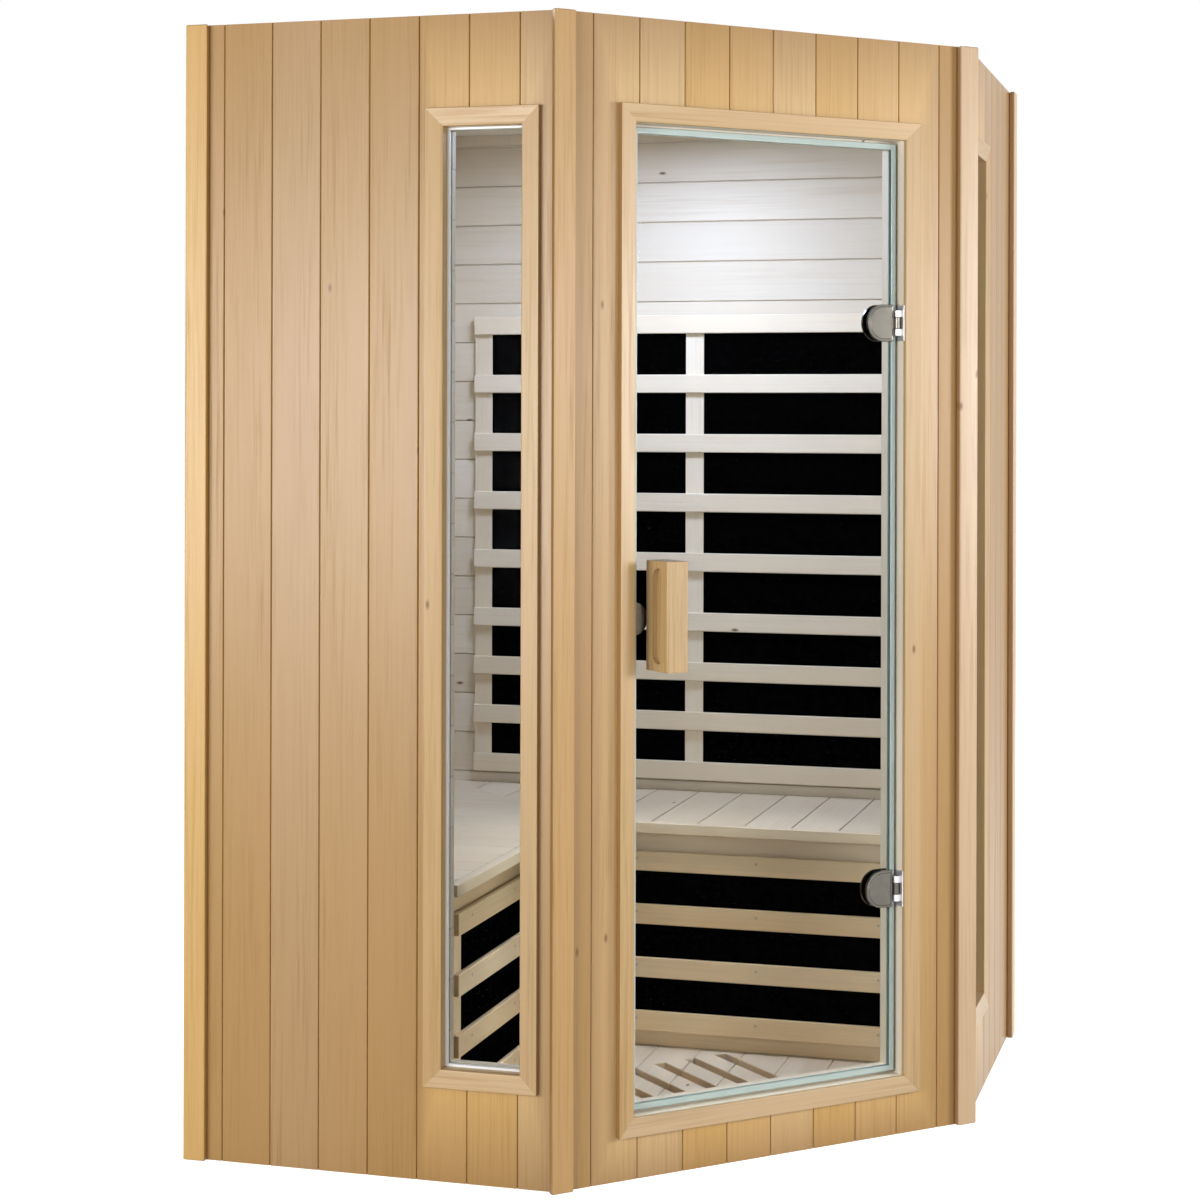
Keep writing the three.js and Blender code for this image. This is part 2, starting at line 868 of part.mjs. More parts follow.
const stopEdge = doorCentreX - doorWidth / 2 + stopWidth;
const strikeLeft = Math.max(stopEdge, leafLeft) + runningGap;
const strikePadLeft = Math.max(strikeLeft, leafLeft + sealFlange + runningGap);
const strikeFront = sealBack + fitGap;
const strikeHeight = handleCentreHeight - strikeBelowHandle;
const glassBack = glassDepth + glassThickness;
const strikePlate = join([
  plate(halfRound(strikeLeft, strikeHeight, strikeRadius), strikeFront, strikeFront + strikeThickness),
  plate(
    halfRound(strikePadLeft, strikeHeight, strikePadRadius),
    glassBack + fitGap,
    strikeFront + strikeThickness / 2,
  ),
]);
add(frontWall, "door_strike_plate", strikePlate, steel);

const catchFront = strikeFront + strikeThickness + runningGap;
const magnetCatch = box(
  stopEdge + fitGap,
  stopEdge + fitGap + catchWidth,
  catchFront,
  wallThickness,
  strikeHeight - catchHeight / 2,
  strikeHeight + catchHeight / 2,
);
add(frontWall, "door_magnet_catch", magnetCatch, darkPlastic);

// Hinges: a D-shaped plate bolted through the glass carries the middle knuckle, and a leaf on the jamb
// carries the outer knuckles and the pin
function dPlate(right, z, reach, height) {
  const radius = height / 2;
  const shape = new THREE.Shape();
  shape.moveTo(right, z - radius);
  shape.lineTo(right, z + radius);
  shape.absarc(right - reach + radius, z, radius, Math.PI / 2, (3 * Math.PI) / 2, false);
  return shape;
}

const hingePlateBack = sealFront - fitGap;
const hingePlateFront = hingePlateBack - hingePlateThickness;
const hingeBackFront = sealBack + fitGap;
const hingeBackRight = Math.min(hingePlateRight, doorCentreX + doorWidth / 2 - stopWidth - runningGap);
const boreRadius = (pinRadius + pinClearance) / Math.cos(Math.PI / roundSides);

function hingePlate(z) {
  const halfKnuckle = middleKnuckleHeight / 2;
  const bolts = [-1, 1].map((way) =>
    levelCylinder(
      hingeBoltRadius,
      hingeBoltX,
      z + (way * hingeBoltSpacing) / 2,
      hingePlateBack - hingePlateThickness / 2,
      hingeBackFront + hingeBackThickness / 2,
    ),
  );
  const body = join([
    plate(dPlate(hingePlateRight, z, hingePlateReach, hingePlateHeight), hingePlateFront, hingePlateBack),
    box(hingePlateRight - barrelRadius, pivotX, pivotDepth, hingePlateBack, z - halfKnuckle, z + halfKnuckle),
    uprightCylinder(barrelRadius, pivotX, pivotDepth, z - halfKnuckle, z + halfKnuckle),
    ...bolts,
  ]);
  return cut(body, [
    uprightCylinder(boreRadius, pivotX, pivotDepth, z - hingePlateHeight, z + hingePlateHeight),
  ]);
}

function hingeBackPlate(z) {
  const reach = hingePlateReach - (hingePlateRight - hingeBackRight);
  const back = hingeBackFront + hingeBackThickness;
  const body = plate(dPlate(hingeBackRight, z, reach, hingePlateHeight), hingeBackFront, back);
  const boltHoles = [-1, 1].map((way) =>
    levelCylinder(
      hingeBoltRadius + fitGap,
      hingeBoltX,
      z + (way * hingeBoltSpacing) / 2,
      0,
      hingeBackFront + hingeBackThickness / 2 + fitGap,
    ),
  );
  return cut(body, boltHoles);
}

function hingeLeaf(z) {
  const leafRight = pivotX + pivotFromJamb - fitGap;
  const leafFace = leafRight - hingeLeafThickness;
  const leafFront = pivotDepth - hingeLeafDepth / 2;
  const halfLeaf = hingeLeafHeight / 2;
  const knuckles = [-1, 1].flatMap((way) => {
    const near = z + way * (middleKnuckleHeight / 2 + fitGap);
    const far = near + way * outerKnuckleHeight;
    const low = Math.min(near, far);
    const high = Math.max(near, far);
    return [
      uprightCylinder(barrelRadius, pivotX, pivotDepth, low, high),
      box(
        pivotX,
        leafFace + hingeLeafThickness / 2,
        pivotDepth - barrelRadius,
        pivotDepth + barrelRadius,
        low,
        high,
      ),
    ];
  });
  const pinReach = middleKnuckleHeight / 2 + outerKnuckleHeight;
  return join([
    box(leafFace, leafRight, leafFront, leafFront + hingeLeafDepth, z - halfLeaf, z + halfLeaf),
    ...knuckles,
    uprightCylinder(pinRadius, pivotX, pivotDepth, z - pinReach, z + pinReach),
  ]);
}

for (const [place, z] of Object.entries(hingeHeights)) {
  add(frontWall, `${place}_hinge_plate`, hingePlate(z), chrome);
  add(frontWall, `${place}_hinge_back_plate`, hingeBackPlate(z), chrome);
  add(frontWall, `${place}_hinge_leaf`, hingeLeaf(z), chrome);
}

// Bench: each seat lies against its back wall and meets the other one on the mitre from the rear corner
function benchPlan(wallEnd, depth0, depth1) {
  const corner = (depth) => backWallLength - depth - mitreGap;
  return outline([
    [wallEnd, depth0],
    [corner(depth0), depth0],
    [corner(depth1), depth1],
    [wallEnd, depth1],
  ]);
}

function seatSection() {
  const points = [
    [0, seatTop - seatThickness],
    [0, seatTop],
  ];
  for (const joint of boardJoints(backWallLength, boardPitch)) {
    points.push([joint - grooveWidth / 2, seatTop]);
    points.push([joint, seatTop - grooveDepth]);
    points.push([joint + grooveWidth / 2, seatTop]);
  }
  points.push([backWallLength, seatTop], [backWallLength, seatTop - seatThickness]);
  return outline(points);
}

const seatPlan = benchPlan(wallThickness + seatFromWall, wallThickness + fitGap, benchFront);
const seatBlock = prism(seatPlan, 0, cabinHeight);
const seat = common(plate(seatSection(), 0, benchFront + wallThickness), seatBlock);
addToBothHalves("backWall", (side) => `${side}_bench_seat`, seat, innerWood);

const skirtPlan = benchPlan(wallThickness + fitGap, skirtFront - skirtThickness, skirtFront);
const skirt = prism(skirtPlan, floorTop + fitGap, seatTop - seatThickness - fitGap);
addToBothHalves("backWall", (side) => `${side}_bench_skirt`, skirt, innerWood);

const skirtBottoms = skirtSlatBottoms();
const skirtGuardTop = skirtBottoms[skirtBottoms.length - 1] + slatHeight;
const skirtGuardStart = wallThickness + skirtGuardFromWall;
const skirtGuardLength = backWallLength - benchFront - skirtGuardFromCorner - skirtGuardStart;
const skirtGuard = slattedGuard(
  skirtGuardStart,
  skirtGuardLength,
  skirtFront,
  skirtBottoms,
  skirtGuardTop,
  false,
);
const skirtHeater = heaterPanel(
  skirtGuardStart,
  skirtGuardLength,
  skirtFront,
  skirtGuardBottom,
  skirtGuardTop,
);
addToBothHalves("backWall", (side) => `${side}_skirt_guard`, skirtGuard, innerWood);
addToBothHalves("backWall", (side) => `${side}_skirt_heater`, skirtHeater, heaterBlack);

// Back heaters behind their guards
const backBottoms = backSlatBottoms();
const backGuardTop = backBottoms[backBottoms.length - 1] + slatHeight;
const backGuardStart = wallThickness + backGuardFromWall;
const backGuard = slattedGuard(
  backGuardStart,
  backGuardLength,
  wallThickness,
  backBottoms,
  backGuardTop,
  true,
);
const backHeater = heaterPanel(
  backGuardStart,
  backGuardLength,
  wallThickness,
  backGuardBottom,
  backGuardTop,
);
addToBothHalves("backWall", (side) => `back_${side}_guard`, backGuard, innerWood);
addToBothHalves("backWall", (side) => `back_${side}_heater`, backHeater, heaterBlack);

// Roof: a framed ceiling panel on the wall panels, a cover on its rim, a cornice below
const powerUnitY = frontPlane + rearDepth - powerUnitFromRear;
const ventY = powerUnitY - ventFromPowerUnit;
const ventOuterLength = ventLength + 2 * ventWall;
const ventOuterWidth = ventWidth + 2 * ventWall;
const roofRimTop = ceilingHeight + roofRimHeight;
const roofCoverBottom = roofRimTop + fitGap;
const roofCoverTop = roofCoverBottom + roofCoverThickness;
const powerUnitBottom = ceilingHeight + ceilingThickness + fitGap;
const powerUnitTop = powerUnitBottom + powerUnitHeight;
const ventHole = box(
  -ventOuterLength / 2 - fitGap,
  ventOuterLength / 2 + fitGap,
  ventY - ventOuterWidth / 2 - fitGap,
  ventY + ventOuterWidth / 2 + fitGap,
  0,
  2 * cabinHeight,
);
const roofPlanInset = boardThickness + runningGap;
const ceilingPanel = cut(prism(cabinPlan(roofPlanInset), ceilingHeight, roofRimTop), [
  prism(cabinPlan(roofPlanInset + roofRimWidth), ceilingHeight + ceilingThickness, 2 * cabinHeight),
  ventHole,
]);
add(cabin, "ceiling_panel", ceilingPanel, innerWood);
const roofCover = cut(prism(cabinPlan(roofPlanInset), roofCoverBottom, roofCoverTop), [
  ventHole,
  uprightCylinder(inletRadius + runningGap, 0, powerUnitY, 0, 2 * cabinHeight),
]);
add(cabin, "roof_cover", roofCover, plywood);
const corniceTop = ceilingHeight - fitGap;
const cornice = cut(
  prism(cabinPlan(wallThickness + fitGap), corniceTop - corniceHeight, corniceTop),
  [prism(cabinPlan(wallThickness + fitGap + corniceThickness), 0, 2 * cabinHeight)],
);
add(cabin, "ceiling_cornice", cornice, innerWood);

// Vent: a duct through the roof with a flange below the ceiling, in which a wooden shutter slides
const ventFlangeTop = ceilingHeight - fitGap;
const ventFlangeBottom = ventFlangeTop - ventFlangeHeight;
const shutterBottom = ventFlangeBottom + shutterFloor + fitGap;
const shutterTop = shutterBottom + shutterThickness;
const ventDuct = box(
  -ventOuterLength / 2,
  ventOuterLength / 2,
  ventY - ventOuterWidth / 2,
  ventY + ventOuterWidth / 2,
  ventFlangeBottom,
  roofCoverTop,
);
const ventFlange = box(
  -ventFlangeLength / 2,
  ventFlangeLength / 2,
  ventY - ventFlangeWidth / 2,
  ventY + ventFlangeWidth / 2,
  ventFlangeBottom,
  ventFlangeTop,
);
const ventBore = box(
  -ventLength / 2,
  ventLength / 2,
  ventY - ventWidth / 2,
  ventY + ventWidth / 2,
  0,
  2 * cabinHeight,
);
const shutterChannel = box(
  -ventLength / 2 - shutterLap - runningGap,
  ventFlangeLength,
  ventY - shutterWidth / 2 - fitGap,
  ventY + shutterWidth / 2 + fitGap,
  shutterBottom - fitGap,
  shutterTop + fitGap,
);
const ventFrame = cut(join([ventDuct, ventFlange]), [ventBore, shutterChannel]);
add(cabin, "vent_frame", ventFrame, innerWood);

const shutterStart = -ventLength / 2 - shutterLap;
const shutterEnd = shutterStart + shutterLength;
const shutter = join([
  box(
    shutterStart,
    shutterEnd,
    ventY - shutterWidth / 2,
    ventY + shutterWidth / 2,
    shutterBottom,
    shutterTop,
  ),
  box(
    shutterEnd - shutterPull,
    shutterEnd,
    ventY - shutterWidth / 2,
    ventY + shutterWidth / 2,
    shutterBottom - 2 * shutterPull,
    shutterTop,
  ),
]);
add(cabin, "vent_shutter", shutter, innerWood);

// Ceiling light: a shallow dome under a straight rim
function lightProfile() {
  const points = [new THREE.Vector2(0, 0), new THREE.Vector2(lightRadius, 0)];
  const domeHeight = lightHeight - lightRimHeight;
  for (let step = 0; step < arcSteps; step++) {
    const angle = (step / arcSteps) * (Math.PI / 2);
    const reach = lightRadius * Math.cos(angle);
    points.push(new THREE.Vector2(reach, -lightRimHeight - domeHeight * Math.sin(angle)));
  }
  points.push(new THREE.Vector2(0, -lightHeight));
  return points.reverse();
}
const ceilingLight = new THREE.LatheGeometry(lightProfile(), roundSides)
  .rotateX(Math.PI / 2)
  .translate(0, frontPlane + lightFromFront, ceilingHeight - fitGap);
add(cabin, "ceiling_light", ceilingLight, whitePlastic);

// Power unit on the ceiling panel, with a mains inlet that comes up through the cover
const inletTop = roofCoverTop + inletHeight - roofCoverThickness;
const powerUnit = cut(
  join([
    box(
      -powerUnitLength / 2,
      powerUnitLength / 2,
      powerUnitY - powerUnitWidth / 2,
      powerUnitY + powerUnitWidth / 2,
      powerUnitBottom,
      powerUnitTop,
    ),
    uprightCylinder(inletRadius, 0, powerUnitY, powerUnitTop - powerUnitHeight / 2, inletTop),
  ]),
  [uprightCylinder(inletSocketRadius, 0, powerUnitY, inletTop - inletSocketDepth, 2 * cabinHeight)],
);
add(cabin, "power_unit", powerUnit, steel);

// Control panel on the inside of the right wall, with a sunk display and a row of push buttons
const controlWall = halves[0].sideWall;
const controlBack = wallThickness + fitGap;
const controlFace = controlBack + controlThickness;
const buttonBottom = controlFace - buttonBuried;
const buttonCentreZ = controlCentreHeight - buttonDrop;

function buttonX(place) {
  return controlFromCorner + (place - (buttonNames.length - 1) / 2) * buttonPitch;
}

const controlBody = holeThrough(
  controlFromCorner,
  controlCentreHeight,
  controlWidth,
  controlHeight,
  controlBack,
  controlFace,
);
const displaySink = holeThrough(
  controlFromCorner,
  controlCentreHeight + displayRise,
  displayWidth,
  displayHeight,
  controlFace - displayRecess,
  controlFace + controlThickness,
);
const buttonWells = buttonNames.map((_, place) =>
  holeThrough(
    buttonX(place),
    buttonCentreZ,
    buttonWidth + 2 * fitGap,
    buttonHeight + 2 * fitGap,
    buttonBottom - buttonTravel - runningGap,
    controlFace + controlThickness,
  ),
);
add(controlWall, "control_panel", cut(controlBody, [displaySink, ...buttonWells]), darkPlastic);
buttonNames.forEach((name, place) => {
  const button = holeThrough(
    buttonX(place),
    buttonCentreZ,
    buttonWidth,
    buttonHeight,
    buttonBottom,
    controlFace + buttonProud,
  );
  add(controlWall, `control_button_${name}`, button, whitePlastic);
});

export default cabin;
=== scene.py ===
import json
import math
import random

import bpy
from mathutils import Matrix, Vector

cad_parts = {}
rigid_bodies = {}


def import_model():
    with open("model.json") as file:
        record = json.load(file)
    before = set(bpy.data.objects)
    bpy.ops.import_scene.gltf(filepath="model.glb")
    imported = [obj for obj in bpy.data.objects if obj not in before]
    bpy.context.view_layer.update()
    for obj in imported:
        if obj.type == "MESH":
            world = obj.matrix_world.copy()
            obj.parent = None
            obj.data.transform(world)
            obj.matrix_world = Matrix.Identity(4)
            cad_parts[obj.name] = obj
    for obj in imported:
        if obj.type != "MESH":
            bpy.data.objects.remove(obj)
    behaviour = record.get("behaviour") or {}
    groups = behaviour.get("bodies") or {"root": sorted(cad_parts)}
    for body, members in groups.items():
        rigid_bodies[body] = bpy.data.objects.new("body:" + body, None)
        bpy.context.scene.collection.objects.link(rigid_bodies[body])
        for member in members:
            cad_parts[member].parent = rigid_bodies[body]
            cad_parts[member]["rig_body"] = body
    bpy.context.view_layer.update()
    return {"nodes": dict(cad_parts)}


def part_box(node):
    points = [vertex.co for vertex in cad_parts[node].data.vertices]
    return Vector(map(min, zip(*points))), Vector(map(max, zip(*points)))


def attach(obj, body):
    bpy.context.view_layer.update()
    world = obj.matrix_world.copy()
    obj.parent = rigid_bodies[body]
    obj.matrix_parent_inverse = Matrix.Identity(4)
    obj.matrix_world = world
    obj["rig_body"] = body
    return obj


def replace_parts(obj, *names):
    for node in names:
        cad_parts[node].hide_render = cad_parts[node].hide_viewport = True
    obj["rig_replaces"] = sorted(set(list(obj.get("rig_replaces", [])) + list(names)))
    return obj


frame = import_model()
bpy.ops.object.select_all(action="DESELECT")


# Floor base
# A thin plywood tray sawn to the plan of the cabin. The wall panels stand on its edge and the floor
# boards lie on it. Rotary-cut veneer shows broad wandering figure and hardly any gloss.

def linear(hex_colour):
    """The linear RGBA of an sRGB hex colour."""
    channels = [int(hex_colour[i : i + 2], 16) / 255 for i in (1, 3, 5)]
    return (*[c / 12.92 if c <= 0.04045 else ((c + 0.055) / 1.055) ** 2.4 for c in channels], 1.0)


def shade(material, kind, inputs=None, **fields):
    """Adds a shader node, sets its fields, and sets or links its inputs."""
    made = material.node_tree.nodes.new(kind)
    for field, value in fields.items():
        setattr(made, field, value)
    for socket, value in (inputs or {}).items():
        if isinstance(value, bpy.types.NodeSocket):
            material.node_tree.links.new(value, made.inputs[socket])
        else:
            made.inputs[socket].default_value = value
    return made


def bare_material(name):
    """A material with an empty node tree."""
    material = bpy.data.materials.new(name)
    material.use_nodes = True
    material.node_tree.nodes.clear()
    return material


def dress(material, *nodes):
    """Gives CAD nodes their finish."""
    for name in nodes:
        frame["nodes"][name].material_slots[0].material = material


def plywood(name, turn):
    """Rotary-cut birch-faced plywood: honey brown, wide soft figure, dry surface."""
    material = bare_material(name)
    place = shade(material, "ShaderNodeTexCoord").outputs["Object"]
    along = shade(material, "ShaderNodeMapping", {"Vector": place, "Rotation": turn})
    figure_size = (1 / 0.045, 1 / 0.045, 1 / 0.6)
    sheet = shade(material, "ShaderNodeMapping", {"Vector": along.outputs[0], "Scale": figure_size})
    figure = shade(
        material, "ShaderNodeTexNoise",
        {"Vector": sheet.outputs[0], "Scale": 1.0, "Detail": 3.0, "Distortion": 1.2},
    )
    rings = shade(
        material, "ShaderNodeMath",
        {0: figure.outputs["Fac"], 1: 34.0}, operation="MULTIPLY",
    )
    bands = shade(material, "ShaderNodeMath", {0: rings.outputs[0]}, operation="SINE")
    band_share = shade(
        material, "ShaderNodeMapRange",
        {"Value": bands.outputs[0], "From Min": -0.6, "From Max": 1.0, "To Max": 0.55},
    )
    pore_size = (1 / 0.0015, 1 / 0.0015, 1 / 0.05)
    pores_at = shade(material, "ShaderNodeMapping", {"Vector": along.outputs[0], "Scale": pore_size})
    pores = shade(material, "ShaderNodeTexNoise", {"Vector": pores_at.outputs[0], "Scale": 1.0})
    colour = shade(
        material, "ShaderNodeMix",
        {0: band_share.outputs[0], 6: linear("#D6B888"), 7: linear("#B98F5C")}, data_type="RGBA",
    )
    speckled = shade(
        material, "ShaderNodeMix",
        {0: 0.35, 6: colour.outputs[2], 7: pores.outputs["Color"]},
        data_type="RGBA", blend_type="SOFT_LIGHT",
    )
    grain = shade(
        material, "ShaderNodeBump",
        {"Strength": 0.25, "Distance": 0.0004, "Height": pores.outputs["Fac"]},
    )
    surface = shade(
        material, "ShaderNodeBsdfPrincipled",
        {"Base Color": speckled.outputs[2], "Roughness": 0.68, "Normal": grain.outputs[0]},
    )
    shade(material, "ShaderNodeOutputMaterial", {"Surface": surface.outputs[0]})
    return material


dress(plywood("floor_base_plywood", (0, math.pi / 2, 0)), "floor_base")


# Floor boards
# Sanded basswood boards laid side by side, parallel to the right side wall, with slots cut through for
# air. Each board has eased edges; the slots are routed square after laying.

ROOT_HALF = math.sqrt(0.5)
FRONT_PLANE = -0.63903
BACK_LENGTH = 1.230
SIDE_LENGTH = 0.650
HALF_FRONT = (BACK_LENGTH - SIDE_LENGTH) * ROOT_HALF
SIDE_REACH = SIDE_LENGTH * ROOT_HALF
WALL_DEPTH = 0.045
draw = random.Random(41)


def wall_frame(x, y, turn):
    """A wall's own frame: X along its outer face, Y into the cabin, Z up."""
    return Matrix.Translation((x, y, 0)) @ Matrix.Rotation(math.radians(turn), 4, "Z")


right_wall = wall_frame(HALF_FRONT, FRONT_PLANE, 45)


def work_on(piece):
    """Leaves one piece selected and active."""
    bpy.ops.object.select_all(action="DESELECT")
    piece.select_set(True)
    bpy.context.view_layer.objects.active = piece


def block(name, low, high):
    """A box between two corners, to be shaped further."""
    size = [b - a for a, b in zip(low, high)]
    middle = [(a + b) / 2 for a, b in zip(low, high)]
    bpy.ops.object.select_all(action="DESELECT")
    bpy.ops.mesh.primitive_cube_add(size=1.0, location=middle, scale=size)
    bpy.ops.object.transform_apply(location=True, rotation=True, scale=True)
    piece = bpy.context.object
    piece.name = name
    return piece


def pick(piece, kind, test):
    """Opens a piece in edit mode with only those edges or faces selected whose middle passes the test."""
    work_on(piece)
    mesh = piece.data
    for part in (mesh.vertices, mesh.edges, mesh.polygons):
        part.foreach_set("select", [False] * len(part))
    if kind == "EDGE":
        for edge in mesh.edges:
            a, b = (mesh.vertices[i].co for i in edge.vertices)
            edge.select = test((a + b) / 2, (b - a).normalized())
    else:
        for polygon in mesh.polygons:
            polygon.select = test(polygon.center, polygon.normal)
    bpy.context.tool_settings.mesh_select_mode = (False, kind == "EDGE", kind == "FACE")
    bpy.ops.object.mode_set(mode="EDIT")


def ease(piece, width, segments, test=lambda middle, way: True):
    """Rounds the edges that pass the test."""
    pick(piece, "EDGE", test)
    bpy.ops.mesh.bevel(offset=width, segments=segments, affect="EDGES")
    bpy.ops.object.mode_set(mode="OBJECT")
    return piece


def plank(width, thickness, length, rounding):
    """A board across X, with its face at Y 0 and its back at Y thickness, along Z from 0."""
    board = block("plank", (-width / 2, 0, 0), (width / 2, thickness, length))
    return ease(board, rounding, 2)


def saw(piece, point, outward):
    """Saws off what lies beyond a plane and closes the cut."""
    work_on(piece)
    bpy.ops.object.mode_set(mode="EDIT")
    bpy.ops.mesh.select_all(action="SELECT")
    bpy.ops.mesh.bisect(plane_co=point, plane_no=outward, use_fill=True, clear_outer=True)
    bpy.ops.object.mode_set(mode="OBJECT")
    return piece


def cut(piece, cutter, operation="DIFFERENCE"):
    """Cuts one piece with another, which stays."""
    work_on(piece)
    tool = piece.modifiers.new("cut", "BOOLEAN")
    tool.operation = operation
    tool.solver = "EXACT"
    tool.object = cutter
    bpy.ops.object.modifier_apply(modifier="cut")
    return piece


def lay(pattern, place):
    """A copy of a board with its own mesh, moved to its place."""
    board = pattern.copy()
    board.data = pattern.data.copy()
    bpy.context.scene.collection.objects.link(board)
    board.data.transform(place)
    return board


def grain(board, place, tone=None):
    """Stores on every point where it lies in its board: across it, below its face and along its grain.
    The length is shifted for each board, so that no two show the same figure, and so is the tone. The
    sawn ends are marked, because end grain is darker."""
    shift = draw.uniform(0.0, 60.0)
    own_tone = draw.uniform(0.25, 0.75) if tone is None else tone
    to_board = place.inverted()
    spots = [to_board @ vertex.co for vertex in board.data.vertices]
    points = []
    for across, below, along in spots:
        points.extend((across, below, along + shift))
    board.data.attributes.new("grain", "FLOAT_VECTOR", "POINT").data.foreach_set("vector", points)
    first, last = min(spot.z for spot in spots), max(spot.z for spot in spots)
    ends = [float(spot.z < first + 0.0002 or spot.z > last - 0.0002) for spot in spots]
    board.data.attributes.new("end", "FLOAT", "POINT").data.foreach_set("value", ends)
    tones = [own_tone] * len(board.data.vertices)
    board.data.attributes.new("tone", "FLOAT", "POINT").data.foreach_set("value", tones)
    return board


def flatten(piece):
    """Gives a piece flat faces between smooth rounded edges."""
    work_on(piece)
    bpy.ops.mesh.customdata_custom_splitnormals_clear()
    bpy.ops.object.shade_smooth_by_angle(angle=math.radians(50))
    normals = piece.modifiers.new("flat_faces", "WEIGHTED_NORMAL")
    normals.keep_sharp = True
    bpy.ops.object.modifier_apply(modifier="flat_faces")
    return piece


def assemble(name, boards):
    """Joins boards into one piece with flat faces and smooth rounded edges."""
    work_on(boards[0])
    for board in boards[1:]:
        board.select_set(True)
    if len(boards) > 1:
        bpy.ops.object.join()
    piece = bpy.context.object
    piece.name = name
    piece.data.name = name
    return flatten(piece)


def discard(*pieces):
    for piece in pieces:
        bpy.data.objects.remove(piece)


def fit(piece, body, slot, material, *nodes):
    """Puts a finished piece in place of CAD nodes."""
    piece.data.materials.clear()
    piece.data.materials.append(material)
    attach(piece, body)
    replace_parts(piece, *nodes)
    return piece


